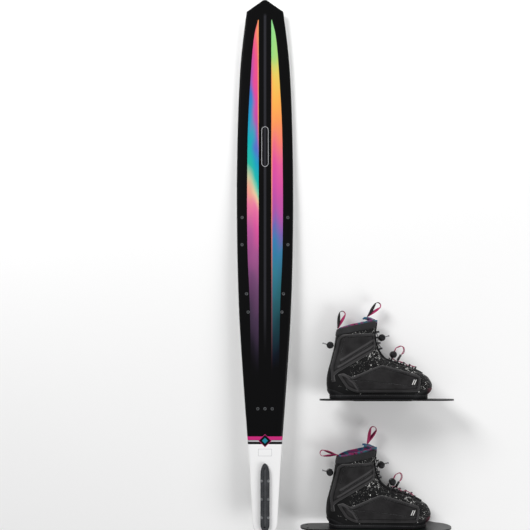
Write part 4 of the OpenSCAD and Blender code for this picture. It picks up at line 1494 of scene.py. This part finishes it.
def loop_shape(place, angle):
    """A loop of webbing that twists a little on its way up and back."""
    a = math.radians(angle)
    out = np.array([math.cos(a), 0, math.sin(a)])
    up = np.array([-math.sin(a), 0, math.cos(a)])
    r = LOOP_R - WEB_T / 2
    centre = LOOP_LENGTH - LOOP_R
    bend = [(centre + r * math.cos(t), r * math.sin(t)) for t in np.radians(np.arange(-100, 101, 20))]
    leg = [(-1, 0.8), (0.5, 0.9), (12, 1.9), (30, 6.1)]
    flat = [(x, -z) for x, z in leg] + bend + leg[::-1]
    line = curve_through([flat[0]] + flat + [flat[-1]], 4)
    origin = np.array([place[0], 0, place[1]])
    path = origin + line[:, :1] * out + line[:, 1:] * up
    tangent = unit(np.gradient(path, axis=0))
    length = running_length(path)
    share = length / length[-1]
    rows, runs = [], []
    half = LOOP_WIDTH / 2
    for i in range(len(path)):
        thick = np.cross(tangent[i], [0, 1, 0])
        rising = min(1, share[i] / TWISTED)
        falling = max(0, (share[i] - 1 + TWISTED) / TWISTED)
        turn = TWIST * (math.sin(math.pi * rising) - math.sin(math.pi * falling))
        wide = math.cos(turn) * np.array([0, 1, 0]) + math.sin(turn) * thick
        normal = np.cross(tangent[i], wide)
        rows.append([path[i] + wide * across * half * 0.92 + normal * level * WEB_T
                     for across, level in WEB_SECTION])
        runs.append([(length[i] * MM, across, share[i]) for across, _ in WEB_SECTION])
    return closed(rows, np.array(runs))


def boot_loops(b):
    for name, (place, angles) in LOOPS.items():
        boot_piece(b, f"{name}_webbing", loop_shape(place, angles[b]), f"{b}_webbing", name,
                   body=f"{b}_{name}", sharp=50)


for b in BOOTS:
    finished(f"{b}_plate", BOOT[b], "plate", 1.1, segments=3)
    finished(f"{b}_sole_screws", BOOT[b], "steel", 0.3)
    for make in (boot_sole, boot_upper, boot_eyestays, boot_collar, boot_liner, boot_tongue, boot_panels,
                 boot_rand, boot_guides, boot_laces, boot_locks, boot_loops):
        make(b)


# ---------------------------------------------------------------- floor and light
def floor_paint():
    paint = Paint("floor", Roughness=0.9)
    wide = paint.noise(paint.value("TexCoord", (), "Object"), 1.2, 2.0)
    paint.colour(paint.mix(wide, "f1f1f1", "f4f4f4"))
    return paint.material


FLOOR_HALF = 14.0
FLOOR_Z = -0.0005
corners = [(FLOOR_HALF * x, FLOOR_HALF * y, 0) for x, y in ((-1, -1), (1, -1), (1, 1), (-1, 1))]
floor_mesh = plain_mesh("floor", Shape().add(corners, [(0, 1, 2, 3)]))
floor_mesh.materials.append(floor_paint())
floor = link(bpy.data.objects.new("floor", floor_mesh))
floor.location.z = FLOOR_Z


def area_light(name, place, aim, size, power):
    data = bpy.data.lights.new(name, "AREA")
    data.shape = "RECTANGLE"
    data.size, data.size_y = size
    data.energy = power
    lamp = link(bpy.data.objects.new(name, data))
    lamp.location = place
    lamp.rotation_euler = (Vector(aim) - Vector(place)).to_track_quat("-Z", "Y").to_euler()


area_light("key", (-2.4, 2.6, 2.6), (0, 0, 0), (1.6, 1.6), 130)
area_light("fill", (2.9, -1.8, 2.6), (0, -0.2, 0), (2.4, 2.4), 75)
area_light("top_strip", (0.9, 2.8, 1.3), (0.1, -0.4, 0.1), (3.0, 0.7), 42)

world = bpy.data.worlds.new("studio")
world.use_nodes = True
background = world.node_tree.nodes["Background"]
background.inputs["Color"].default_value = (1, 1, 1, 1)
background.inputs["Strength"].default_value = 0.34
bpy.context.scene.world = world
bpy.context.scene.view_settings.view_transform = "Standard"
